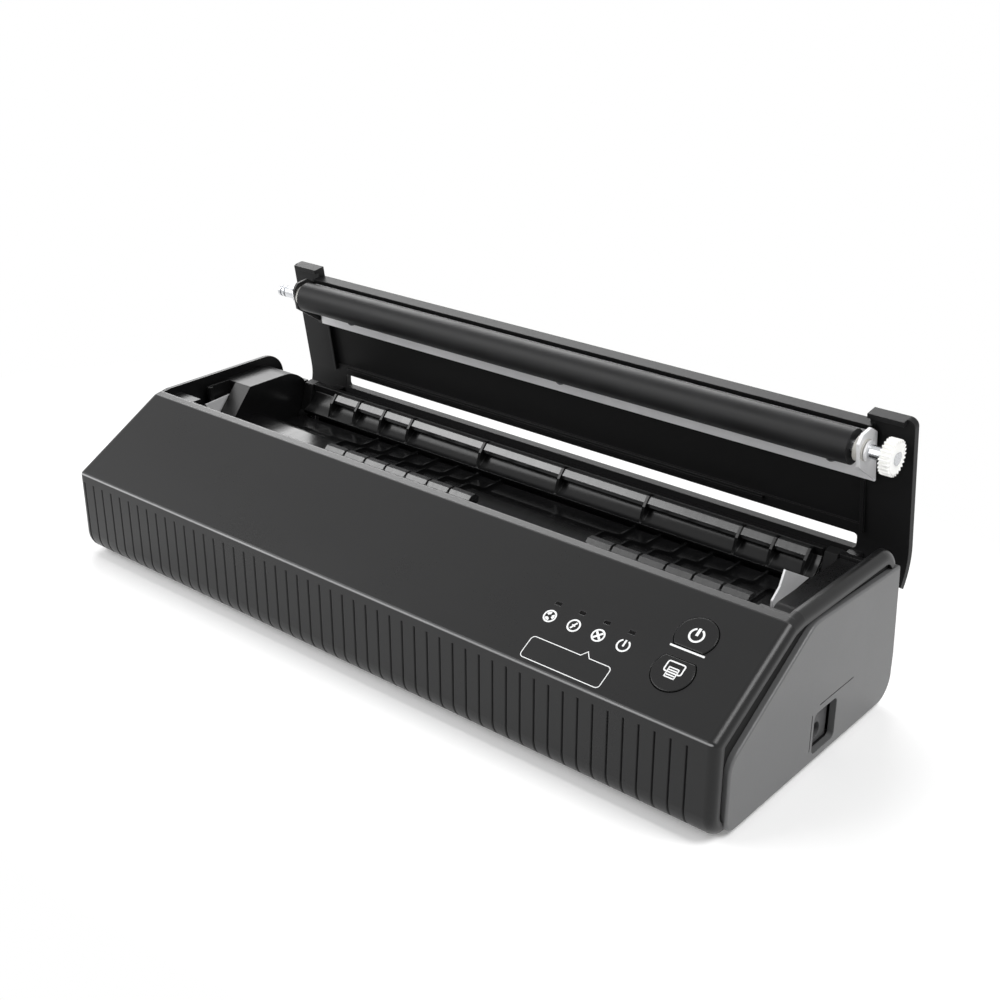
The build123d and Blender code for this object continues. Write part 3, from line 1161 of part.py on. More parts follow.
with BuildPart() as lid_shell:
    with BuildSketch(lid_plane(LID_X)):
        with BuildLine():
            Line((TAB_EDGE, LID_TOP), (CURL_U, LID_TOP))
            TangentArc((CURL_U, LID_TOP), (CURL_END_U, CURL_END_W), tangent=(-1, 0))
            offset(amount=LID_T, side=Side.LEFT)
        make_face()
    extrude(amount=2 * LID_X)
    with BuildSketch(lid_level(LID_TOP - 2 * LID_T)):
        with Locations((0, -LID_EDGE)):
            Rectangle(2 * TAB_IN, TAB_EDGE, align=(Align.CENTER, Align.MAX))
    extrude(amount=3 * LID_T, mode=Mode.SUBTRACT)
    tab_edges = lid_shell.edges().filter_by(Axis((0, 0, 0), LID_UP)).group_by(Axis.X)
    fillet(tab_edges[0] + tab_edges[-1], TAB_R)
    # turned-down lip along the free edge and the tabs, in two steps
    with BuildSketch(lid_plane(EAR_X - LID_GAP)):
        with Locations((LID_EDGE, EDGE_LIP_W)):
            Rectangle(EDGE_LIP, LID_TOP - LID_T / 2 - EDGE_LIP_W, align=(Align.MAX, Align.MIN))
        with Locations((LID_EDGE, EDGE_LIP_W + 1.4)):
            Rectangle(2 * EDGE_LIP, LID_TOP - LID_T / 2 - EDGE_LIP_W - 1.4, align=(Align.MAX, Align.MIN))
    extrude(amount=2 * (EAR_X - LID_GAP))
    for x0 in (LID_X - TAB_R, -TAB_IN):
        with BuildSketch(lid_plane(x0)):
            with Locations((TAB_EDGE, EDGE_LIP_W)):
                Rectangle(EDGE_LIP, LID_TOP - LID_T / 2 - EDGE_LIP_W, align=(Align.MAX, Align.MIN))
        extrude(amount=LID_X - TAB_R - TAB_IN)
    # shallow recess in the middle of the inner face, ribs at its sides
    with BuildSketch(lid_level(LID_TOP - LID_T)):
        with Locations((0, -SLOT_U1 - 4.5)):
            Rectangle(
                2 * LID_RECESS_X,
                LID_EDGE - 2 * EDGE_LIP - SLOT_U1 - 5.5,
                align=(Align.CENTER, Align.MAX),
            )
    extrude(amount=LID_RECESS, mode=Mode.SUBTRACT)
    with BuildSketch(lid_level(LID_TOP - LID_T - LID_RIB)):
        with Locations((-LID_RECESS_X, -SLOT_U1 - 2), (LID_RECESS_X, -SLOT_U1 - 2)):
            Rectangle(LID_RIB_T, LID_EDGE - SLOT_U1 - 8, align=(Align.CENTER, Align.MAX))
        with Locations(((SLOT_X0 + LID_RIB_X) / 2, -SLOT_U1 - 3)):
            Rectangle(LID_RIB_X - SLOT_X0 - 6, LID_RIB_T, align=(Align.CENTER, Align.MAX))
        with Locations(*[(x, -SCREW_U) for x in BRACKET_SCREW_X]):
            Circle(BRACKET_SCREW_R + 1.4)
    extrude(amount=LID_RIB + LID_RECESS + 0.1)
    # paper exit slot
    with BuildSketch(lid_level(LID_TOP - 4 * LID_T)):
        with Locations(((SLOT_X0 + SLOT_X1) / 2, -(SLOT_U0 + SLOT_U1) / 2)):
            RectangleRounded(SLOT_X1 - SLOT_X0, SLOT_U1 - SLOT_U0, SLOT_R)
    extrude(amount=6 * LID_T, mode=Mode.SUBTRACT)
    # hinge arms with their bosses
    for x0 in (ARM_X1, -ARM_X0):
        with BuildSketch(lid_plane(x0)):
            Circle(ARM_BOSS_R)
            Polygon(
                (-ARM_BOSS_R + 0.1, 0),
                (-ARM_BOSS_R + 0.8, 10.0),
                (CURL_END_U + 1.8, CURL_END_W + 1.0),
                (SLOT_U0 - 0.7, LID_TOP - LID_T + 0.2),
                (SLOT_U0, 17.0),
                (15.5, 7.5),
                (15.5, 3.5),
                (4.0, -1.8),
            )
            Circle(PIN_R + PIN_RUN, mode=Mode.SUBTRACT)
        extrude(amount=ARM_X1 - ARM_X0)
    # screw holes for the roller bracket
    with BuildSketch(lid_level(LID_TOP - LID_T - LID_RIB)):
        with Locations(*[(x, -SCREW_U) for x in BRACKET_SCREW_X]):
            Circle(BRACKET_SCREW_R)
    extrude(amount=LID_RIB + LID_RECESS, mode=Mode.SUBTRACT)
lid_shell.part.label = "lid_shell"
export_step(lid_shell.part, "parts/lid_shell.step")

# ---- roller bracket: web behind the roller, an ear at each end ----
EAR_SHAPE = [
    (WEB_U0, WEB_W + WEB_T),
    (ROLL_U - BUSH_R - EAR_RIM, ROLL_W - BUSH_R + EAR_RIM),
    (ROLL_U + BUSH_R - EAR_RIM, ROLL_W - BUSH_R),
    (ROLL_U + BUSH_R + EAR_TIP, ROLL_W - BUSH_R + 3.0),
    (ROLL_U + BUSH_R + EAR_TIP, ROLL_W + BUSH_R - EAR_RIM),
    (WEB_U1, WEB_W + WEB_T),
]
with BuildPart() as roller_bracket:
    with BuildSketch(lid_level(WEB_W)):
        with Locations((0, -WEB_U0)):
            Rectangle(2 * (EAR_X + EAR_T), WEB_U1 - WEB_U0, align=(Align.CENTER, Align.MAX))
        with Locations(*[(x, -SCREW_U) for x in BRACKET_SCREW_X]):
            Circle(BRACKET_SCREW_R, mode=Mode.SUBTRACT)
    extrude(amount=WEB_T)
    for x0 in (EAR_X + EAR_T, -EAR_X):
        with BuildSketch(lid_plane(x0)):
            Polygon(*EAR_SHAPE)
        extrude(amount=EAR_T)
    with BuildSketch(lid_plane(EAR_X + EAR_T)):
        with Locations((ROLL_U, ROLL_W)):
            Circle(BUSH_R - 1.0)
    extrude(amount=2 * (EAR_X + EAR_T), mode=Mode.SUBTRACT)
roller_bracket.part.label = "roller_bracket"
export_step(roller_bracket.part, "parts/roller_bracket.step")

with BuildPart() as roller_bushes:
    for sign in (1, -1):
        for x0, length, radius in (
            (EAR_X - 1.6, 1.6, BUSH_R),
            (EAR_X, EAR_T, BUSH_R - 1.0),
            (EAR_X + EAR_T, 0.7, BUSH_R - 0.6),
        ):
            with BuildSketch(side(sign * x0)):
                with Locations((ROLL_OPEN.Y, ROLL_OPEN.Z)):
                    Circle(radius)
                    Circle(SHAFT_R + PIN_RUN, mode=Mode.SUBTRACT)
            extrude(amount=sign * length)
roller_bushes.part.label = "roller_bushes"
export_step(roller_bushes.part, "parts/roller_bushes.step")

with BuildPart() as bracket_screws:
    with BuildSketch(lid_level(WEB_W)):
        with Locations(*[(x, -SCREW_U) for x in BRACKET_SCREW_X]):
            Circle(BRACKET_SCREW_R + 1.0)
    extrude(amount=-0.9)
    with BuildSketch(lid_level(WEB_W)):
        with Locations(*[(x, -SCREW_U) for x in BRACKET_SCREW_X]):
            Circle(BRACKET_SCREW_R)
    extrude(amount=WEB_T + LID_RIB)
bracket_screws.part.label = "bracket_screws"
export_step(bracket_screws.part, "parts/bracket_screws.step")

# ---- platen roller: steel shaft, rubber sleeve, clips and gear ----
with BuildPart() as platen_shaft:
    with BuildSketch(side(-ROLL_HALF - 1.1)):
        with Locations((ROLL_OPEN.Y, ROLL_OPEN.Z)):
            Circle(CORE_R)
    extrude(amount=2 * (ROLL_HALF + 1.1))
    with BuildSketch(side(SHAFT_X0)):
        with Locations((ROLL_OPEN.Y, ROLL_OPEN.Z)):
            Circle(SHAFT_R)
    extrude(amount=SHAFT_X1 - SHAFT_X0)
    for x0 in (SHAFT_X0 + 1.2, SHAFT_X0 + 3.6):
        with BuildSketch(side(x0)):
            with Locations((ROLL_OPEN.Y, ROLL_OPEN.Z)):
                Circle(2 * SHAFT_R)
                Circle(STUB_R, mode=Mode.SUBTRACT)
        extrude(amount=STUB_W, mode=Mode.SUBTRACT)
    with BuildSketch(side(GEAR_X)):
        with Locations((ROLL_OPEN.Y, ROLL_OPEN.Z + SHAFT_FLAT)):
            Rectangle(4 * SHAFT_R, 2 * SHAFT_R, align=(Align.CENTER, Align.MIN))
    extrude(amount=SHAFT_X1 - GEAR_X, mode=Mode.SUBTRACT)
platen_shaft.part.label = "platen_shaft"
export_step(platen_shaft.part, "parts/platen_shaft.step")

with BuildPart() as platen_rubber:
    with BuildSketch(side(-ROLL_HALF)):
        with Locations((ROLL_OPEN.Y, ROLL_OPEN.Z)):
            Circle(ROLL_R)
            Circle(CORE_R, mode=Mode.SUBTRACT)
    extrude(amount=2 * ROLL_HALF)
platen_rubber.part.label = "platen_rubber"
export_step(platen_rubber.part, "parts/platen_rubber.step")

with BuildPart() as shaft_clips:
    for x0 in (EAR_X + EAR_T + 1.0, -EAR_X - EAR_T - 1.0 - CLIP_T):
        with BuildSketch(side(x0)):
            with Locations((ROLL_OPEN.Y, ROLL_OPEN.Z)):
                Circle(CLIP_R)
                Circle(SHAFT_R, mode=Mode.SUBTRACT)
        extrude(amount=CLIP_T)
shaft_clips.part.label = "shaft_clips"
export_step(shaft_clips.part, "parts/shaft_clips.step")

with BuildPart() as platen_gear:
    with BuildSketch(Plane(Vector(GEAR_X, ROLL_OPEN.Y, ROLL_OPEN.Z), x_dir=(0, 1, 0), z_dir=(1, 0, 0))):
        Polygon(*tooth_points(PLATEN_TEETH, 0.0))
        Circle(SHAFT_R, mode=Mode.SUBTRACT)
    extrude(amount=GEAR_T)
    with BuildSketch(side(GEAR_X)):
        with Locations((ROLL_OPEN.Y, ROLL_OPEN.Z)):
            Circle(SHAFT_R)
        with Locations((ROLL_OPEN.Y, ROLL_OPEN.Z + SHAFT_FLAT)):
            Rectangle(4 * SHAFT_R, 2 * SHAFT_R, align=(Align.CENTER, Align.MAX), mode=Mode.SUBTRACT)
    extrude(amount=GEAR_T)
platen_gear.part.label = "platen_gear"
export_step(platen_gear.part, "parts/platen_gear.step")
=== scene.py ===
import math

import bmesh
import bpy
from mathutils import Matrix, Vector


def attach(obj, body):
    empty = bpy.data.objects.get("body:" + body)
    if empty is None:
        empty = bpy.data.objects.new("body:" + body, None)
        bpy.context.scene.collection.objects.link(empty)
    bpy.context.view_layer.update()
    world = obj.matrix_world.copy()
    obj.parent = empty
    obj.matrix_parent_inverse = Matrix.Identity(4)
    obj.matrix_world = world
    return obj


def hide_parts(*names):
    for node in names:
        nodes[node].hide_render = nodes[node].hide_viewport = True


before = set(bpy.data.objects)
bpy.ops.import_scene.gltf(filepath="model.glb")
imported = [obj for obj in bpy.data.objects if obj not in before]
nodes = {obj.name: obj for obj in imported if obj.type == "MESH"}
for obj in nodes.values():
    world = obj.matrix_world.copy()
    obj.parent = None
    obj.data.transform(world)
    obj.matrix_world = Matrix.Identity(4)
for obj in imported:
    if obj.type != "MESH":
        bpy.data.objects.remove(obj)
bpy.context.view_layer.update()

# ---- Case ----
# The upper case is one black moulding with fifty-two grooves down its front, and the
# base tray closes it from below. Both have a fine grain from a spark-eroded mould.


class Wire:
    """One socket of a material. Arithmetic on it adds the Math nodes it stands for."""

    def __init__(self, socket):
        self.socket = socket

    def node(self, kind, settings, inputs, output=0):
        """Adds a node of a kind, sets it up, feeds its sockets and gives one output."""
        made = self.socket.id_data.nodes.new("ShaderNode" + kind)
        for name, value in settings.items():
            setattr(made, name, value)
        for name, value in inputs.items():
            if isinstance(value, Wire):
                self.socket.id_data.links.new(value.socket, made.inputs[name])
            else:
                made.inputs[name].default_value = value
        return Wire(made.outputs[output])

    def into(self, shader, name):
        """Feeds a socket of a shader or of an output node."""
        self.socket.id_data.links.new(self.socket, shader.inputs[name])

    def noise(self, scale, detail=2.0, stretch=(1.0, 1.0, 1.0)):
        """Soft random values about 0.5, scale cells to the metre, denser along stretch."""
        placed = self.node("Mapping", {}, {"Vector": self, "Scale": stretch})
        return placed.node("TexNoise", {}, {"Vector": placed, "Scale": scale, "Detail": detail})

    def along(self, axis):
        """One coordinate of this point."""
        return self.node("SeparateXYZ", {}, {0: self}, axis)

    def ramp(self, low, high):
        """Rises from 0 at low to 1 at high."""
        return self.node("MapRange", {}, {"Value": self, "From Min": low, "From Max": high})

    def blend(self, first, second):
        """Mixes two colours by this value."""
        return self.node("Mix", {"data_type": "RGBA"}, {0: self, 6: first, 7: second}, 2)

    def __add__(self, other):
        return self.node("Math", {"operation": "ADD"}, {0: self, 1: other})

    def __mul__(self, other):
        return self.node("Math", {"operation": "MULTIPLY"}, {0: self, 1: other})

    def __sub__(self, other):
        return self.node("Math", {"operation": "SUBTRACT"}, {0: self, 1: other})

    def __rsub__(self, other):
        return self.node("Math", {"operation": "SUBTRACT"}, {0: other, 1: self})

    __radd__ = __add__
    __rmul__ = __mul__


def begin(name):
    """A new material, its shader, and the coordinates of the object that it is on."""
    material = bpy.data.materials.new(name)
    material.use_nodes = True
    tree = material.node_tree
    place = tree.nodes.new("ShaderNodeTexCoord").outputs["Object"]
    return material, tree.nodes["Principled BSDF"], Wire(place)


def skin(place, radius, height, depth):
    """Normals with small rounded edges and a height pattern pressed into them."""
    edge = place.node("Bevel", {"samples": 4}, {"Radius": radius}, 0)
    return place.node("Bump", {}, {"Height": height, "Distance": depth, "Normal": edge})


GRAIN = 0.0006           # one cell of the mould's grain
MOULD_EDGE = 0.0004      # rounding of an edge that the mould leaves
FLOW_CELLS = 9.0         # flow marks to the metre
RUB_CELLS = 24.0         # rubbed places to the metre
# tone of a painted highlight, a pale line standing in for light caught on a rounded edge
HIGHLIGHT_TONE = (0.50, 0.50, 0.505, 1)
HIGHLIGHT_OUTER = 0.00046     # a painted highlight line fades out this far from its middle
HIGHLIGHT_INNER = 0.00018     # and is full within this
HIGHLIGHT_SPAN_X = (-0.14, 0.10)


def moulded(name, colour, worn, gloss, depth=0.000012, shine=0.30, lines=()):
    """Moulded plastic: grain, faint flow marks, rubbed places and painted highlights along
    edges.

    A painted highlight runs along X at its Y and Z, with one share at its left and one at its
    right.
    """
    material, shader, place = begin(name)
    fine = place.noise(1.0 / GRAIN, 3.0)
    flow = place.noise(FLOW_CELLS, 4.0, (1.0, 3.0, 3.0))
    rubbed = place.noise(RUB_CELLS, 3.0).ramp(0.50, 0.85)
    tone = (flow.ramp(0.3, 0.7) * 0.6 + rubbed * 0.4).blend(colour, worn)
    # painted highlight: each line lightens the base colour along a rounded edge, fading along X
    # as the light does
    for y, z, left, right in lines:
        off_y, off_z = place.along(1) - y, place.along(2) - z
        edge = (off_y * off_y + off_z * off_z).ramp(HIGHLIGHT_OUTER ** 2, HIGHLIGHT_INNER ** 2)
        share = place.along(0).ramp(*HIGHLIGHT_SPAN_X) * (right - left) + left
        tone = (edge * (0.8 + rubbed * 0.2) * share).blend(tone, HIGHLIGHT_TONE)
    tone.into(shader, "Base Color")
    (gloss + fine * 0.08 - rubbed * 0.04).into(shader, "Roughness")
    skin(place, MOULD_EDGE, fine, depth).into(shader, "Normal")
    shader.inputs["Specular IOR Level"].default_value = shine
    return material


def dress(material, *names):
    """Gives CAD nodes their material."""
    for name in names:
        nodes[name].data.materials.clear()
        nodes[name].data.materials.append(material)


# Painted highlights along the brow and the crest stand in for light caught on these rounded
# edges.
BROW_HIGHLIGHT = (-0.06690, 0.03795, 0.9, 0.55)
CREST_HIGHLIGHTS = ((-0.02545, 0.06200, 0.35, 0.06), (-0.02260, 0.06245, 0.30, 0.03))
case_plastic = moulded(
    "case_plastic", (0.0052, 0.0052, 0.0054, 1), (0.0085, 0.0085, 0.0088, 1), 0.26,
    lines=(BROW_HIGHLIGHT, *CREST_HIGHLIGHTS),
)
dress(case_plastic, "top_shell", "base_tray")

# ---- Side panels ----
# A lighter, smoother cover plate closes each end. It is clipped on over a black
# gasket, and the right one has the opening for the power inlet.

panel_plastic = moulded(
    "panel_plastic", (0.112, 0.113, 0.114, 1), (0.128, 0.129, 0.131, 1), 0.32,
    depth=0.000008, shine=0.45,
)
dress(panel_plastic, "left_side_panel", "right_side_panel")


def rubbery(name, colour, dusty, grain, stretch=(1.0, 1.0, 1.0), matt=0.62):
    """Soft rubber: very matt, a little dusty, with a fine ground skin."""
    material, shader, place = begin(name)
    dust = place.noise(45.0, 6.0).ramp(0.42, 0.8)
    dust.blend(colour, dusty).into(shader, "Base Color")
    (dust * 0.12 + matt).into(shader, "Roughness")
    skin(place, 0.0003, place.noise(1.0 / grain, 2.0, stretch), 0.00003).into(shader, "Normal")
    shader.inputs["Specular IOR Level"].default_value = 0.16
    return material


gasket_rubber = rubbery(
    "gasket_rubber", (0.006, 0.006, 0.006, 1), (0.014, 0.014, 0.014, 1), 0.0006
)
dress(gasket_rubber, "left_seal", "right_seal")

# ---- Feet ----
# Four round rubber feet are pressed into the base tray. Each is moulded in one piece,
# and they keep the machine from sliding on the bench.

foot_rubber = rubbery("foot_rubber", (0.02, 0.02, 0.02, 1), (0.06, 0.058, 0.055, 1), 0.0005)
dress(foot_rubber, "feet")

# ---- Screws ----
# Cross-head machine screws hold the base tray and the roller bracket. The heads are
# cold-formed and plated dark, paler where the driver has rubbed.

EAR_BLACK = (0.012, 0.012, 0.012, 1)
EAR_BLACK_EDGE = 0.0003


def drawn(name, colour, bare, gloss, stretch, metal=1.0, blacked=None):
    """Metal with fine drawn lines and rubbed places, coloured black left of blacked if given.
    """
    material, shader, place = begin(name)
    lines = place.noise(1500.0, 3.0, stretch)
    rubbed = place.noise(70.0, 5.0).ramp(0.45, 0.75)
    tone = (rubbed * 0.7 + lines * 0.3).blend(colour, bare)
    # the colour turns black left of blacked, by position along X
    if blacked is not None:
        blackened = place.along(0).ramp(blacked, blacked - EAR_BLACK_EDGE)
        tone = blackened.blend(tone, EAR_BLACK)
    tone.into(shader, "Base Color")
    (gloss + lines * 0.16).into(shader, "Roughness")
    skin(place, 0.0002, lines, 0.000008).into(shader, "Normal")
    shader.inputs["Metallic"].default_value = metal
    return material


def show(mesh, name, material, body):
    """Turns a finished mesh into a piece that moves with one body."""
    bmesh.ops.recalc_face_normals(mesh, faces=mesh.faces)
    data = bpy.data.meshes.new(name)
    mesh.to_mesh(data)
    mesh.free()
    data.materials.append(material)
    piece = bpy.data.objects.new(name, data)
    bpy.context.scene.collection.objects.link(piece)
    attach(piece, body)
    return piece


def add_to(group, mesh):
    """Moves a finished mesh into a group of like ones."""
    part = bpy.data.meshes.new("part")
    mesh.to_mesh(part)
    mesh.free()
    group.from_mesh(part)
    bpy.data.meshes.remove(part)


screw_steel = drawn(
    "screw_steel", (0.10, 0.10, 0.105, 1), (0.40, 0.40, 0.41, 1), 0.28, (1, 1, 1)
)

HEAD_TAPER = 0.86        # top of the head to its rim
HEAD_ROUND = 0.3         # rounding of the crown to the head's height
ARM_SHARE = 0.6          # arm of the cross to the head's radius
SLOT_SHARE = 0.13        # half width of the cross to the head's radius
CROSS_DEPTH = 0.6        # depth of the cross to the head's height
CROSS_TAPER = 0.8
SHANK_TAPER = 0.85


def cross_head(place, radius, height, shank_radius, shank_length):
    """One cross-head screw with its head above the local origin and its shank below."""
    screw = bmesh.new()
    bmesh.ops.create_cone(
        screw, cap_ends=True, segments=32, radius1=radius, radius2=radius * HEAD_TAPER,
        depth=height, matrix=Matrix.Translation((0, 0, height / 2)),
    )
    crown = max(screw.faces, key=lambda face: face.calc_center_median().z)
    bmesh.ops.bevel(
        screw, geom=list(crown.edges), offset=height * HEAD_ROUND, segments=3, profile=0.5,
        affect="EDGES", material=-1,
    )
    arm = radius * ARM_SHARE
    half = radius * SLOT_SHARE
    top = height * 0.999
    for offset in (-arm, -half, half, arm):
        for axis in ((1, 0, 0), (0, 1, 0)):
            level = [face for face in screw.faces if face.calc_center_median().z > top]
            corners = {vert for face in level for vert in face.verts}
            sides = {edge for face in level for edge in face.edges}
            bmesh.ops.bisect_plane(
                screw, geom=level + list(sides) + list(corners),
                plane_co=Vector(axis) * offset, plane_no=axis,
            )
    recess = []
    for face in screw.faces:
        middle = face.calc_center_median()
        across, up = abs(middle.x), abs(middle.y)
        in_cross = across < half and up < arm or up < half and across < arm
        if middle.z > top and in_cross:
            recess.append(face)
    sunk = bmesh.ops.extrude_face_region(screw, geom=recess)["geom"]
    bmesh.ops.delete(screw, geom=recess, context="FACES")
    bottom = [item for item in sunk if isinstance(item, bmesh.types.BMVert)]
    bmesh.ops.scale(screw, verts=bottom, vec=(CROSS_TAPER, CROSS_TAPER, 1.0))
    bmesh.ops.translate(screw, verts=bottom, vec=(0, 0, -height * CROSS_DEPTH))
    bmesh.ops.create_cone(
        screw, cap_ends=True, segments=20, radius1=shank_radius * SHANK_TAPER,
        radius2=shank_radius, depth=shank_length,
        matrix=Matrix.Translation((0, 0, -shank_length / 2)),
    )
    bmesh.ops.transform(screw, matrix=place, verts=screw.verts)
    return screw


def screw_set(name, places, sizes, body, node):
    """A group of screws that stands for one CAD node."""
    group = bmesh.new()
    for place in places:
        add_to(group, cross_head(place, *sizes))
    piece = show(group, name, screw_steel, body)
    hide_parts(node)


FRONT = -0.06715         # face of the case's front
FOOT_H = 0.0015
TRAY_SCREW = (0.00145, 0.0009, 0.0013, 0.0033)
TRAY_SCREW_X = (-0.12, 0.0, 0.12)
TRAY_SCREW_Y = (0.0165, 0.1035)
under = Matrix.Rotation(math.pi, 4, "X")
tray_spots = [
    Matrix.Translation((x, FRONT + y, FOOT_H + TRAY_SCREW[1])) @ under
    for x in TRAY_SCREW_X for y in TRAY_SCREW_Y
]
screw_set("tray_screw_heads", tray_spots, TRAY_SCREW, "body", "case_screws")

# ---- Control marks ----
# Four lamp windows are moulded flush in the slope, and pale pad-printed marks stand
# under them, with an empty printed frame below for the user's own note.

lamp_lens = moulded(
    "lamp_lens", (0.002, 0.002, 0.002, 1), (0.004, 0.004, 0.004, 1), 0.45, shine=0.06
)
dress(lamp_lens, "indicator_lights")
print_ink, ink_shader, ink_place = begin("print_ink")
ink_wear = ink_place.noise(900.0, 4.0).ramp(0.62, 0.9)
ink_wear.blend((0.83, 0.84, 0.84, 1), (0.45, 0.45, 0.45, 1)).into(ink_shader, "Base Color")
(0.5 - ink_wear * 0.1).into(ink_shader, "Roughness")

# Marks are drawn flat: X along the machine, Y up the slope from the brow.
SLOPE = math.radians(29.451)
FRONT_H = 0.0369         # brow above the base of the case
slope = Matrix.Translation((0, FRONT, FOOT_H + FRONT_H)) @ Matrix.Rotation(SLOPE, 4, "X")
INK = 0.00004            # thickness of the ink
OVER = 0.00001           # a stroke that crosses another lies this much higher


def flat_arc(mesh, centre, inner, outer, turn=360.0, start=0.0):
    """A flat printed ring, or part of one, made by turning a short line."""
    from_here = Matrix.Translation(centre) @ Matrix.Rotation(math.radians(start), 4, "Z")
    near = mesh.verts.new(from_here @ Vector((0, inner, 0)))
    far = mesh.verts.new(from_here @ Vector((0, outer, 0)))
    bmesh.ops.spin(
        mesh, geom=[near, far, mesh.edges.new((near, far))], cent=centre, axis=(0, 0, 1),
        angle=math.radians(turn), steps=max(4, int(turn / 10)), use_merge=turn == 360.0,
    )


def flat_sheet(mesh, place, length, width):
    """One flat printed rectangle, its length along X before it is placed."""
    bmesh.ops.create_grid(
        mesh, x_segments=1, y_segments=1, size=0.5,
        matrix=place @ Matrix.Diagonal((length, width, 1, 1)),
    )


def flat_bar(mesh, centre, length, width, turn=0.0):
    """A flat printed bar, turned about its middle."""
    turned = Matrix.Rotation(math.radians(turn), 4, "Z")
    flat_sheet(mesh, Matrix.Translation(centre) @ turned, length, width)


def round_corners(mesh, corners, radius):
    """Rounds the corners of a flat sheet."""
    bmesh.ops.bevel(
        mesh, geom=list(corners), offset=radius, segments=5, profile=0.5,
        affect="VERTICES", material=-1,
    )


def only_outline(mesh, faces, line):
    """Leaves a line of one width along the border of flat faces."""
    bmesh.ops.inset_region(
        mesh, faces=faces, thickness=line, use_boundary=True, use_even_offset=True
    )
    bmesh.ops.delete(mesh, geom=faces, context="FACES")


def printed(mesh, name, lift, body):
    """Gives flat marks the thickness of ink and lays them on the slope."""
    grown = bmesh.ops.extrude_face_region(mesh, geom=list(mesh.faces))["geom"]
    top = [item for item in grown if isinstance(item, bmesh.types.BMVert)]
    bmesh.ops.translate(mesh, verts=top, vec=(0, 0, INK))
    bmesh.ops.translate(mesh, verts=mesh.verts, vec=(0, 0, lift))
    bmesh.ops.transform(mesh, matrix=slope, verts=mesh.verts)
    show(mesh, name, print_ink, body)


LAMP_X = 0.082
LAMP_PITCH = 0.010
MARK_S = 0.0195          # middle of the four marks, up the slope
RING = (0.0019, 0.0025)
BLADE = (0.0007, 0.0017)
BOLT_STEP = Vector((0.0003, 0.0006, 0))
marks = bmesh.new()
for k in range(4):
    spot = Vector((LAMP_X + LAMP_PITCH * k, MARK_S, 0))
    if k < 3:
        flat_arc(marks, spot, *RING)
    else:
        flat_arc(marks, spot, *RING, turn=300.0, start=30.0)
    if k == 0:
        for third in (0, 120, 240):
            flat_arc(marks, spot, *BLADE, turn=70.0, start=third)
    elif k == 1:
        flat_bar(marks, spot + BOLT_STEP, 0.0017, 0.0006, 60)
        flat_bar(marks, spot - BOLT_STEP + Vector((0, 0, OVER)), 0.0017, 0.0006, 60)
        flat_bar(marks, spot + Vector((0, 0, 2 * OVER)), 0.0014, 0.0005, -15)
    elif k == 2:
        flat_bar(marks, spot, 0.0036, 0.0008, 45)
        flat_bar(marks, spot + Vector((0, 0, OVER)), 0.0036, 0.0008, -45)
    else:
        flat_bar(marks, spot + Vector((0, 0.0009, 0)), 0.0026, 0.0007, 90)
printed(marks, "lamp_marks", 0.0, "body")

NOTE_SPOT = (0.09725, 0.0064, 0)
NOTE_L = 0.0325
NOTE_W = 0.0088
NOTE_ROUND = 0.0016
NOTE_LINE = 0.0003
NOTE_TOP = 0.0107        # just under the frame's upper side
NOTE_MIDDLE = (0.085, 0.111)
POINTER = ((0.1008, 0.0108), (0.1026, 0.0130), (0.1044, 0.0108))
note = bmesh.new()
flat_sheet(note, Matrix.Translation(NOTE_SPOT), NOTE_L, NOTE_W)
round_corners(note, note.verts, NOTE_ROUND)
upper = [edge for edge in note.edges if all(vert.co.y > NOTE_TOP for vert in edge.verts)]
longest = max(upper, key=lambda edge: edge.calc_length())
bmesh.ops.subdivide_edges(note, edges=[longest], cuts=3)
peak = [
    vert for vert in note.verts
    if vert.co.y > NOTE_TOP and NOTE_MIDDLE[0] < vert.co.x < NOTE_MIDDLE[1]
]
for vert, (x, y) in zip(sorted(peak, key=lambda vert: vert.co.x), POINTER):
    vert.co.x, vert.co.y = x, y
only_outline(note, list(note.faces), NOTE_LINE)
printed(note, "note_frame", 0.0, "body")

# ---- Keys ----
# Two D-shaped keys face each other across a web of the case. The upper one switches
# the power, and a pale bar is printed on the web beside it. The lower one copies.

key_plastic = moulded(
    "key_plastic", (0.0050, 0.0050, 0.0052, 1), (0.0080, 0.0080, 0.0083, 1), 0.22
)
dress(key_plastic, "power_button", "copy_button")
KEY_X = 0.1325
KEY_TOP = 0.0004         # the keys stand this proud of the slope
POWER_RING = (0.0021, 0.0028)
power_mark = bmesh.new()
flat_arc(power_mark, Vector((KEY_X, 0.0321, 0)), *POWER_RING, turn=310.0, start=25.0)
flat_bar(power_mark, Vector((KEY_X, 0.0334, 0)), 0.0030, 0.0010, 90)
printed(power_mark, "power_mark", KEY_TOP, "power_key")
power_bar = bmesh.new()
flat_bar(power_bar, Vector((KEY_X, 0.0261, 0)), 0.0130, 0.0007)
printed(power_bar, "power_bar", 0.0, "body")

COPIER_L = 0.0068
COPIER_W = 0.0044
COPIER_ROUND = 0.0009
COPIER_LINE = 0.0005
SHEET_L = 0.0038
SHEET_ROWS = (0.0185, 0.0176, 0.0167, 0.0158, 0.0149)
copy_mark = bmesh.new()
flat_sheet(copy_mark, Matrix.Translation((KEY_X, 0.0187, 0)), COPIER_L, COPIER_W)
round_corners(copy_mark, copy_mark.verts, COPIER_ROUND)
only_outline(copy_mark, list(copy_mark.faces), COPIER_LINE)
for row in SHEET_ROWS:
    flat_bar(copy_mark, Vector((KEY_X, row, OVER)), SHEET_L, 0.00045)
for side in (-0.0018, 0.0018):
    flat_bar(copy_mark, Vector((KEY_X + side, SHEET_ROWS[2], OVER)), 0.0040, 0.0004, 90)
printed(copy_mark, "copy_mark", KEY_TOP, "copy_key")

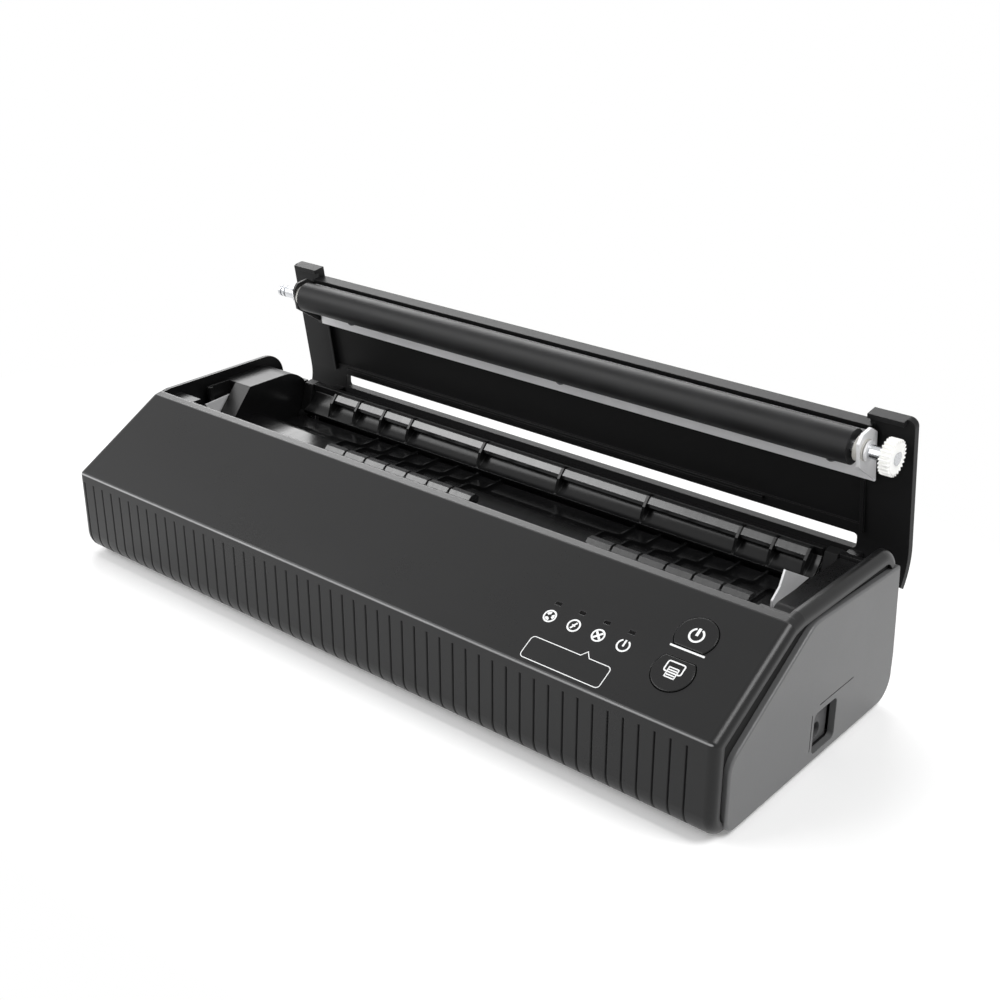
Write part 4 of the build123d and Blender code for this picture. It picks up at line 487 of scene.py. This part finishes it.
# ---- Power inlet ----
# The socket for the power lead sits behind the opening of the right panel. Its
# moulded grey body has one round bore for the plug.

inlet_plastic = moulded(
    "inlet_plastic", (0.10, 0.10, 0.102, 1), (0.12, 0.12, 0.122, 1), 0.35
)
dress(inlet_plastic, "power_inlet")

# ---- Print head and sensor ----
# A glazed ceramic bar with its line of heaters sits on a finned aluminium sink. The
# folded steel carrier holds them over the tray, and the glass-topped sensor follows.

HEATER_Y = (-0.0140, -0.0125)
head_glaze, glaze, place = begin("head_glaze")
heater = place.along(1).ramp(*HEATER_Y)
cloud = place.noise(300.0, 3.0).ramp(0.3, 0.7)
cloud.blend((0.50, 0.49, 0.45, 1), (0.58, 0.57, 0.54, 1)).into(glaze, "Base Color")
(0.14 + heater * 0.1).into(glaze, "Roughness")
skin(place, 0.0002, place.noise(900.0, 2.0), 0.000005).into(glaze, "Normal")
dress(head_glaze, "print_head")
ALONG_X = (0.02, 1, 1)   # drawn lines run along X
sink_aluminium = drawn(
    "sink_aluminium", (0.52, 0.53, 0.54, 1), (0.66, 0.67, 0.68, 1), 0.32, ALONG_X
)
dress(sink_aluminium, "head_heat_sink")
PLATE = (0.72, 0.72, 0.73, 1)
PLATE_RUBBED = (0.84, 0.84, 0.85, 1)
sheet_steel = drawn("sheet_steel", PLATE, PLATE_RUBBED, 0.40, ALONG_X, metal=0.2)
dress(sheet_steel, "head_carrier", "motor_bracket")
sensor_glass = moulded(
    "sensor_glass", (0.010, 0.010, 0.011, 1), (0.016, 0.016, 0.017, 1), 0.08
)
dress(sensor_glass, "image_sensor")

# ---- Boards ----
# Two green circuit boards carry the electronics: one under the keys, one on the tray.
# They are glass-fibre sheet with etched tracks under a green lacquer.

solder_mask, mask, place = begin("solder_mask")
tracks = place.noise(420.0, 1.0).ramp(0.47, 0.5)
tracks.blend((0.010, 0.055, 0.028, 1), (0.016, 0.085, 0.040, 1)).into(mask, "Base Color")
(0.32 - tracks * 0.08).into(mask, "Roughness")
skin(place, 0.0001, tracks, 0.00003).into(mask, "Normal")
dress(solder_mask, "main_board", "key_board")

# ---- Paper guides ----
# Two smooth black mouldings lead the sheet from the roller to the slot in the lid. The
# rounded edges between their ribs and gussets are polished by the paper.


def polished(name, colour, worn, gloss, shine):
    """Smooth guide plastic with fine rub lines in the way that the paper runs."""
    material, shader, place = begin(name)
    rub = place.noise(700.0, 4.0, (1.0, 0.05, 0.05))
    smear = place.noise(30.0, 4.0).ramp(0.35, 0.75)
    (smear * 0.6 + rub * 0.4).blend(colour, worn).into(shader, "Base Color")
    (gloss + rub * 0.12 + smear * 0.06).into(shader, "Roughness")
    skin(place, 0.0003, rub, 0.000004).into(shader, "Normal")
    shader.inputs["Specular IOR Level"].default_value = shine
    return material


guide_plastic = polished(
    "guide_plastic", (0.0035, 0.0035, 0.0037, 1), (0.0070, 0.0070, 0.0073, 1), 0.10, 0.26
)
edge_plastic = polished(
    "edge_plastic", (0.0100, 0.0100, 0.0103, 1), (0.0200, 0.0200, 0.0205, 1), 0.12, 1.0
)
dress(guide_plastic, "front_guide", "rear_guide")
BEAD_SIDES = 8


def rolled_edge(name, centre, depth, height, spans, cuts):
    """A rounded bead of the guide along X, in one length for each span, cut to its seat."""
    lying = Matrix.Rotation(math.pi / 2, 4, "Y")
    flat_side_down = Matrix.Rotation(math.pi / BEAD_SIDES, 4, "Z")
    bead = bmesh.new()
    for start, end in spans:
        length = bmesh.new()
        bmesh.ops.create_cone(
            length, cap_ends=True, segments=BEAD_SIDES, radius1=1.0, radius2=1.0,
            depth=end - start, matrix=lying @ flat_side_down,
        )
        bmesh.ops.scale(length, verts=length.verts, vec=(1.0, depth, height))
        bmesh.ops.translate(length, verts=length.verts, vec=((start + end) / 2, *centre))
        for point, normal in cuts:
            cut = bmesh.ops.bisect_plane(
                length, geom=list(length.verts) + list(length.edges) + list(length.faces),
                plane_co=(0, *point), plane_no=(0, *normal), clear_outer=True,
            )
            rim = [item for item in cut["geom_cut"] if isinstance(item, bmesh.types.BMEdge)]
            bmesh.ops.edgenet_fill(length, edges=rim)
        add_to(bead, length)
    show(bead, name, edge_plastic, "body")


GUSSETS = (
    -0.115, -0.100, -0.084, -0.0675, -0.0262, 0.0154, 0.0570, 0.0986, 0.1130, 0.1270
)
GUSSET_HALF = 0.0006
REAR_WALL_Y = 0.04388    # inner face of the case's rear wall
ROLL_Z = 0.0487
bays = [(a + GUSSET_HALF, b - GUSSET_HALF) for a, b in zip(GUSSETS, GUSSETS[1:])]
rolled_edge(
    "rear_guide_rolls", (REAR_WALL_Y, ROLL_Z), 0.0038, 0.0039, bays,
    [((REAR_WALL_Y, 0.0), (1, 0)), ((0.0, ROLL_Z), (0, -1))],
)
LIP_Y = 0.0055
GUIDE_FLAT_Z = 0.0463
FIRST_RIBS = (-0.0820, 0.0560)
RIBS = 7                 # in each of the two groups
RIB_PITCH = 0.01172
RIB_HALF = 0.0005
LAST_LIP_X = 0.12
starts = [first + RIB_PITCH * k for first in FIRST_RIBS for k in range(RIBS)]
lip_spans = [(x + RIB_HALF, x + RIB_PITCH - RIB_HALF) for x in starts if x < LAST_LIP_X]
rolled_edge(
    "front_guide_lips", (LIP_Y, GUIDE_FLAT_Z), 0.0032, 0.0027, lip_spans,
    [((0.0, GUIDE_FLAT_Z), (0, -1))],
)

# ---- End blocks ----
# The hollow left block and the gear housing on the right carry the hinge pins and
# leave a pocket at the front of each for the ends of the closed platen shaft.

block_plastic = moulded(
    "block_plastic", (0.0050, 0.0050, 0.0052, 1), (0.0080, 0.0080, 0.0083, 1), 0.26
)
dress(block_plastic, "left_end_block", "right_end_housing")
pin_steel = drawn("pin_steel", (0.55, 0.56, 0.58, 1), (0.70, 0.71, 0.72, 1), 0.18, ALONG_X)
dress(pin_steel, "hinge_pins", "motor_shaft", "platen_shaft")
spring_steel = drawn(
    "spring_steel", (0.70, 0.70, 0.71, 1), (0.82, 0.82, 0.83, 1), 0.36, (1, 0.05, 1),
    metal=0.2,
)
dress(spring_steel, "left_latch_plate", "right_latch_clip", "shaft_clips")

# ---- Drive ----
# A small can motor turns the platen through moulded gears inside the right housing.
# The motor's can is painted steel, and the gears are pale moulded acetal with grease.

motor_paint = drawn(
    "motor_paint", (0.020, 0.020, 0.021, 1), (0.045, 0.045, 0.046, 1), 0.34, (1, 1, 1),
    metal=0.2,
)
dress(motor_paint, "drive_motor")


def acetal(name, colour, oily):
    """Natural acetal: waxy, with a trace of grease between the teeth."""
    material, shader, place = begin(name)
    grease = place.noise(160.0, 4.0).ramp(0.5, 0.8)
    grease.blend(colour, oily).into(shader, "Base Color")
    (0.36 - grease * 0.14).into(shader, "Roughness")
    skin(place, 0.0001, place.noise(1200.0, 2.0), 0.000008).into(shader, "Normal")
    shader.inputs["Subsurface Weight"].default_value = 0.1
    shader.inputs["Subsurface Radius"].default_value = (0.0010, 0.0010, 0.0009)
    return material


gear_acetal = acetal("gear_acetal", (0.93, 0.93, 0.91, 1), (0.86, 0.85, 0.81, 1))
dress(gear_acetal, "platen_gear", "idler_gear", "output_gear", "motor_pinion")

# ---- Lid ----
# The lid is one black moulding, smooth inside, that turns on two pins at the rear.
# Its slot lets the finished sheet out, and its tabs lap over the end blocks.

lid_plastic = moulded(
    "lid_plastic", (0.0085, 0.0085, 0.0088, 1), (0.0125, 0.0125, 0.0128, 1), 0.40,
    depth=0.000006, shine=0.13,
)
dress(lid_plastic, "lid_shell")

# ---- Roller bracket ----
# A folded steel strip is screwed under the lid, and its two ears carry the plain
# bushes of the roller. The left ear is coloured black, the rest is bright plate.

# The lid's own plane: X along the machine, Y from the hinge to the rear, Z through it.
HINGE = Vector((0, FRONT + 0.1098, FOOT_H + 0.0352))
LEAN = math.radians(81.46)
lid_turn = Matrix.Translation(HINGE) @ Matrix.Rotation(-LEAN, 4, "X")
BRACKET_SCREW = (0.0023, 0.0009, 0.0013, 0.0024)
BRACKET_SCREW_X = (-0.1187, 0.0013, 0.1240)
bracket_spots = [
    lid_turn @ Matrix.Translation((x, -0.0434, 0.0210)) @ under for x in BRACKET_SCREW_X
]
screw_set("bracket_screw_heads", bracket_spots, BRACKET_SCREW, "lid", "bracket_screws")
# the bracket is coloured black left of this
LEFT_EAR_X = -0.1385
bracket_steel = drawn(
    "bracket_steel", PLATE, PLATE_RUBBED, 0.40, ALONG_X, metal=0.2, blacked=LEFT_EAR_X
)
dress(bracket_steel, "roller_bracket")
bush_plastic = acetal("bush_plastic", (0.50, 0.49, 0.46, 1), (0.34, 0.33, 0.30, 1))
dress(bush_plastic, "roller_bushes")

# ---- Platen roller ----
# The rubber sleeve is ground true on its steel shaft, which leaves fine rings round
# it. The moulded gear is pressed on the right end of the shaft.

platen_rubber = rubbery(
    "platen_rubber", (0.010, 0.010, 0.0105, 1), (0.017, 0.017, 0.0175, 1), 0.0005,
    (1.0, 0.15, 0.15), 0.40,
)
dress(platen_rubber, "platen_rubber")

# ---- Studio ----
# A pale floor, a pale surround and four soft lamps, with the camera where the
# photograph was taken from. None of it belongs to the machine.

WHITE = (1, 1, 1, 1)
SEEN_BY = ("Is Camera Ray", "Is Glossy Ray", "Is Transmission Ray")


def white_to_camera(inside, white, share=1.0):
    """Lets the camera, reflections and clear parts see a share of a white shader."""
    camera_ray, glossy_ray, clear_ray = [
        inside.node("LightPath", {}, {}, name) for name in SEEN_BY
    ]
    seen = camera_ray + glossy_ray + clear_ray
    seen = seen.node("Clamp", {}, {0: seen}) * share
    return inside.node("MixShader", {}, {0: seen, 1: inside, 2: white})


AMBIENT = 0.25
world = bpy.data.worlds.new("studio")
bpy.context.scene.world = world
world.use_nodes = True
surround = world.node_tree.nodes["Background"]
surround.inputs["Color"].default_value = WHITE
surround.inputs["Strength"].default_value = AMBIENT
ambient = Wire(surround.outputs[0])
backdrop = ambient.node("Background", {}, {"Color": WHITE, "Strength": 1.0})
shown = white_to_camera(ambient, backdrop)
shown.into(world.node_tree.nodes["World Output"], "Surface")

FADE_SCALE = (5.9, 11.0, 0)
FADE = (1.1, 2.3)        # the floor turns white between these, outside the shadow
floor_paint, floor_shader, floor_place = begin("floor_paint")
floor_shader.inputs["Base Color"].default_value = (0.92, 0.92, 0.92, 1)
floor_shader.inputs["Roughness"].default_value = 0.7
floor_shader.inputs["Specular IOR Level"].default_value = 0.1
floor_shader.inputs["Emission Color"].default_value = WHITE
floor_shader.inputs["Emission Strength"].default_value = 0.16
stretched = floor_place.node(
    "VectorMath", {"operation": "MULTIPLY"}, {0: floor_place, 1: FADE_SCALE}
)
away = stretched.node("VectorMath", {"operation": "LENGTH"}, {0: stretched}, 1).ramp(*FADE)
glow = floor_place.node("Emission", {}, {"Color": WHITE, "Strength": 1.0})
shown = white_to_camera(Wire(floor_shader.outputs[0]), glow, away)
shown.into(floor_paint.node_tree.nodes["Material Output"], "Surface")
sheet = bmesh.new()
bmesh.ops.create_grid(sheet, x_segments=1, y_segments=1, size=4.0)
floor_mesh = bpy.data.meshes.new("floor")
sheet.to_mesh(floor_mesh)
sheet.free()
floor_mesh.materials.append(floor_paint)
floor = bpy.data.objects.new("floor", floor_mesh)
bpy.context.scene.collection.objects.link(floor)


def lamp(name, spot, target, size, power):
    """A soft rectangular lamp that points at the machine."""
    light = bpy.data.lights.new(name, "AREA")
    light.shape = "RECTANGLE"
    light.size, light.size_y = size
    light.energy = power
    holder = bpy.data.objects.new(name, light)
    holder.location = spot
    aim = Vector(target) - Vector(spot)
    holder.rotation_euler = aim.to_track_quat("-Z", "Y").to_euler()
    bpy.context.scene.collection.objects.link(holder)


lamp("key_lamp", (-0.89, -0.89, 0.87), (0, 0, 0.05), (1.05, 0.92), 14.0)
lamp("right_lamp", (0.85, 0.02, 1.25), (0.12, 0, 0.04), (0.5, 0.75), 13.0)
lamp("fill_lamp", (-0.5, -1.5, 0.25), (0, 0, 0.06), (1.0, 0.4), 4.0)
lamp("back_lamp", (-0.93, 1.05, 0.95), (0, 0, 0.05), (1.3, 0.9), 18.0)

CAMERA_SPOT = (0.3490, -0.39125, 0.2884)
CAMERA_DOWN = 24.58      # degrees below the horizon
CAMERA_TURN = 40.25      # degrees round from the front
CAMERA_LENS = 53.44
camera = bpy.data.cameras.new("camera")
camera.sensor_fit = "HORIZONTAL"
camera.sensor_width = 36.0
camera.lens = CAMERA_LENS
camera.clip_start = 0.01
viewer = bpy.data.objects.new("camera", camera)
viewer.location = CAMERA_SPOT
viewer.rotation_euler = (math.radians(90 - CAMERA_DOWN), 0, math.radians(CAMERA_TURN))
bpy.context.scene.collection.objects.link(viewer)
bpy.context.scene.camera = viewer
bpy.context.scene.view_settings.view_transform = "Standard"
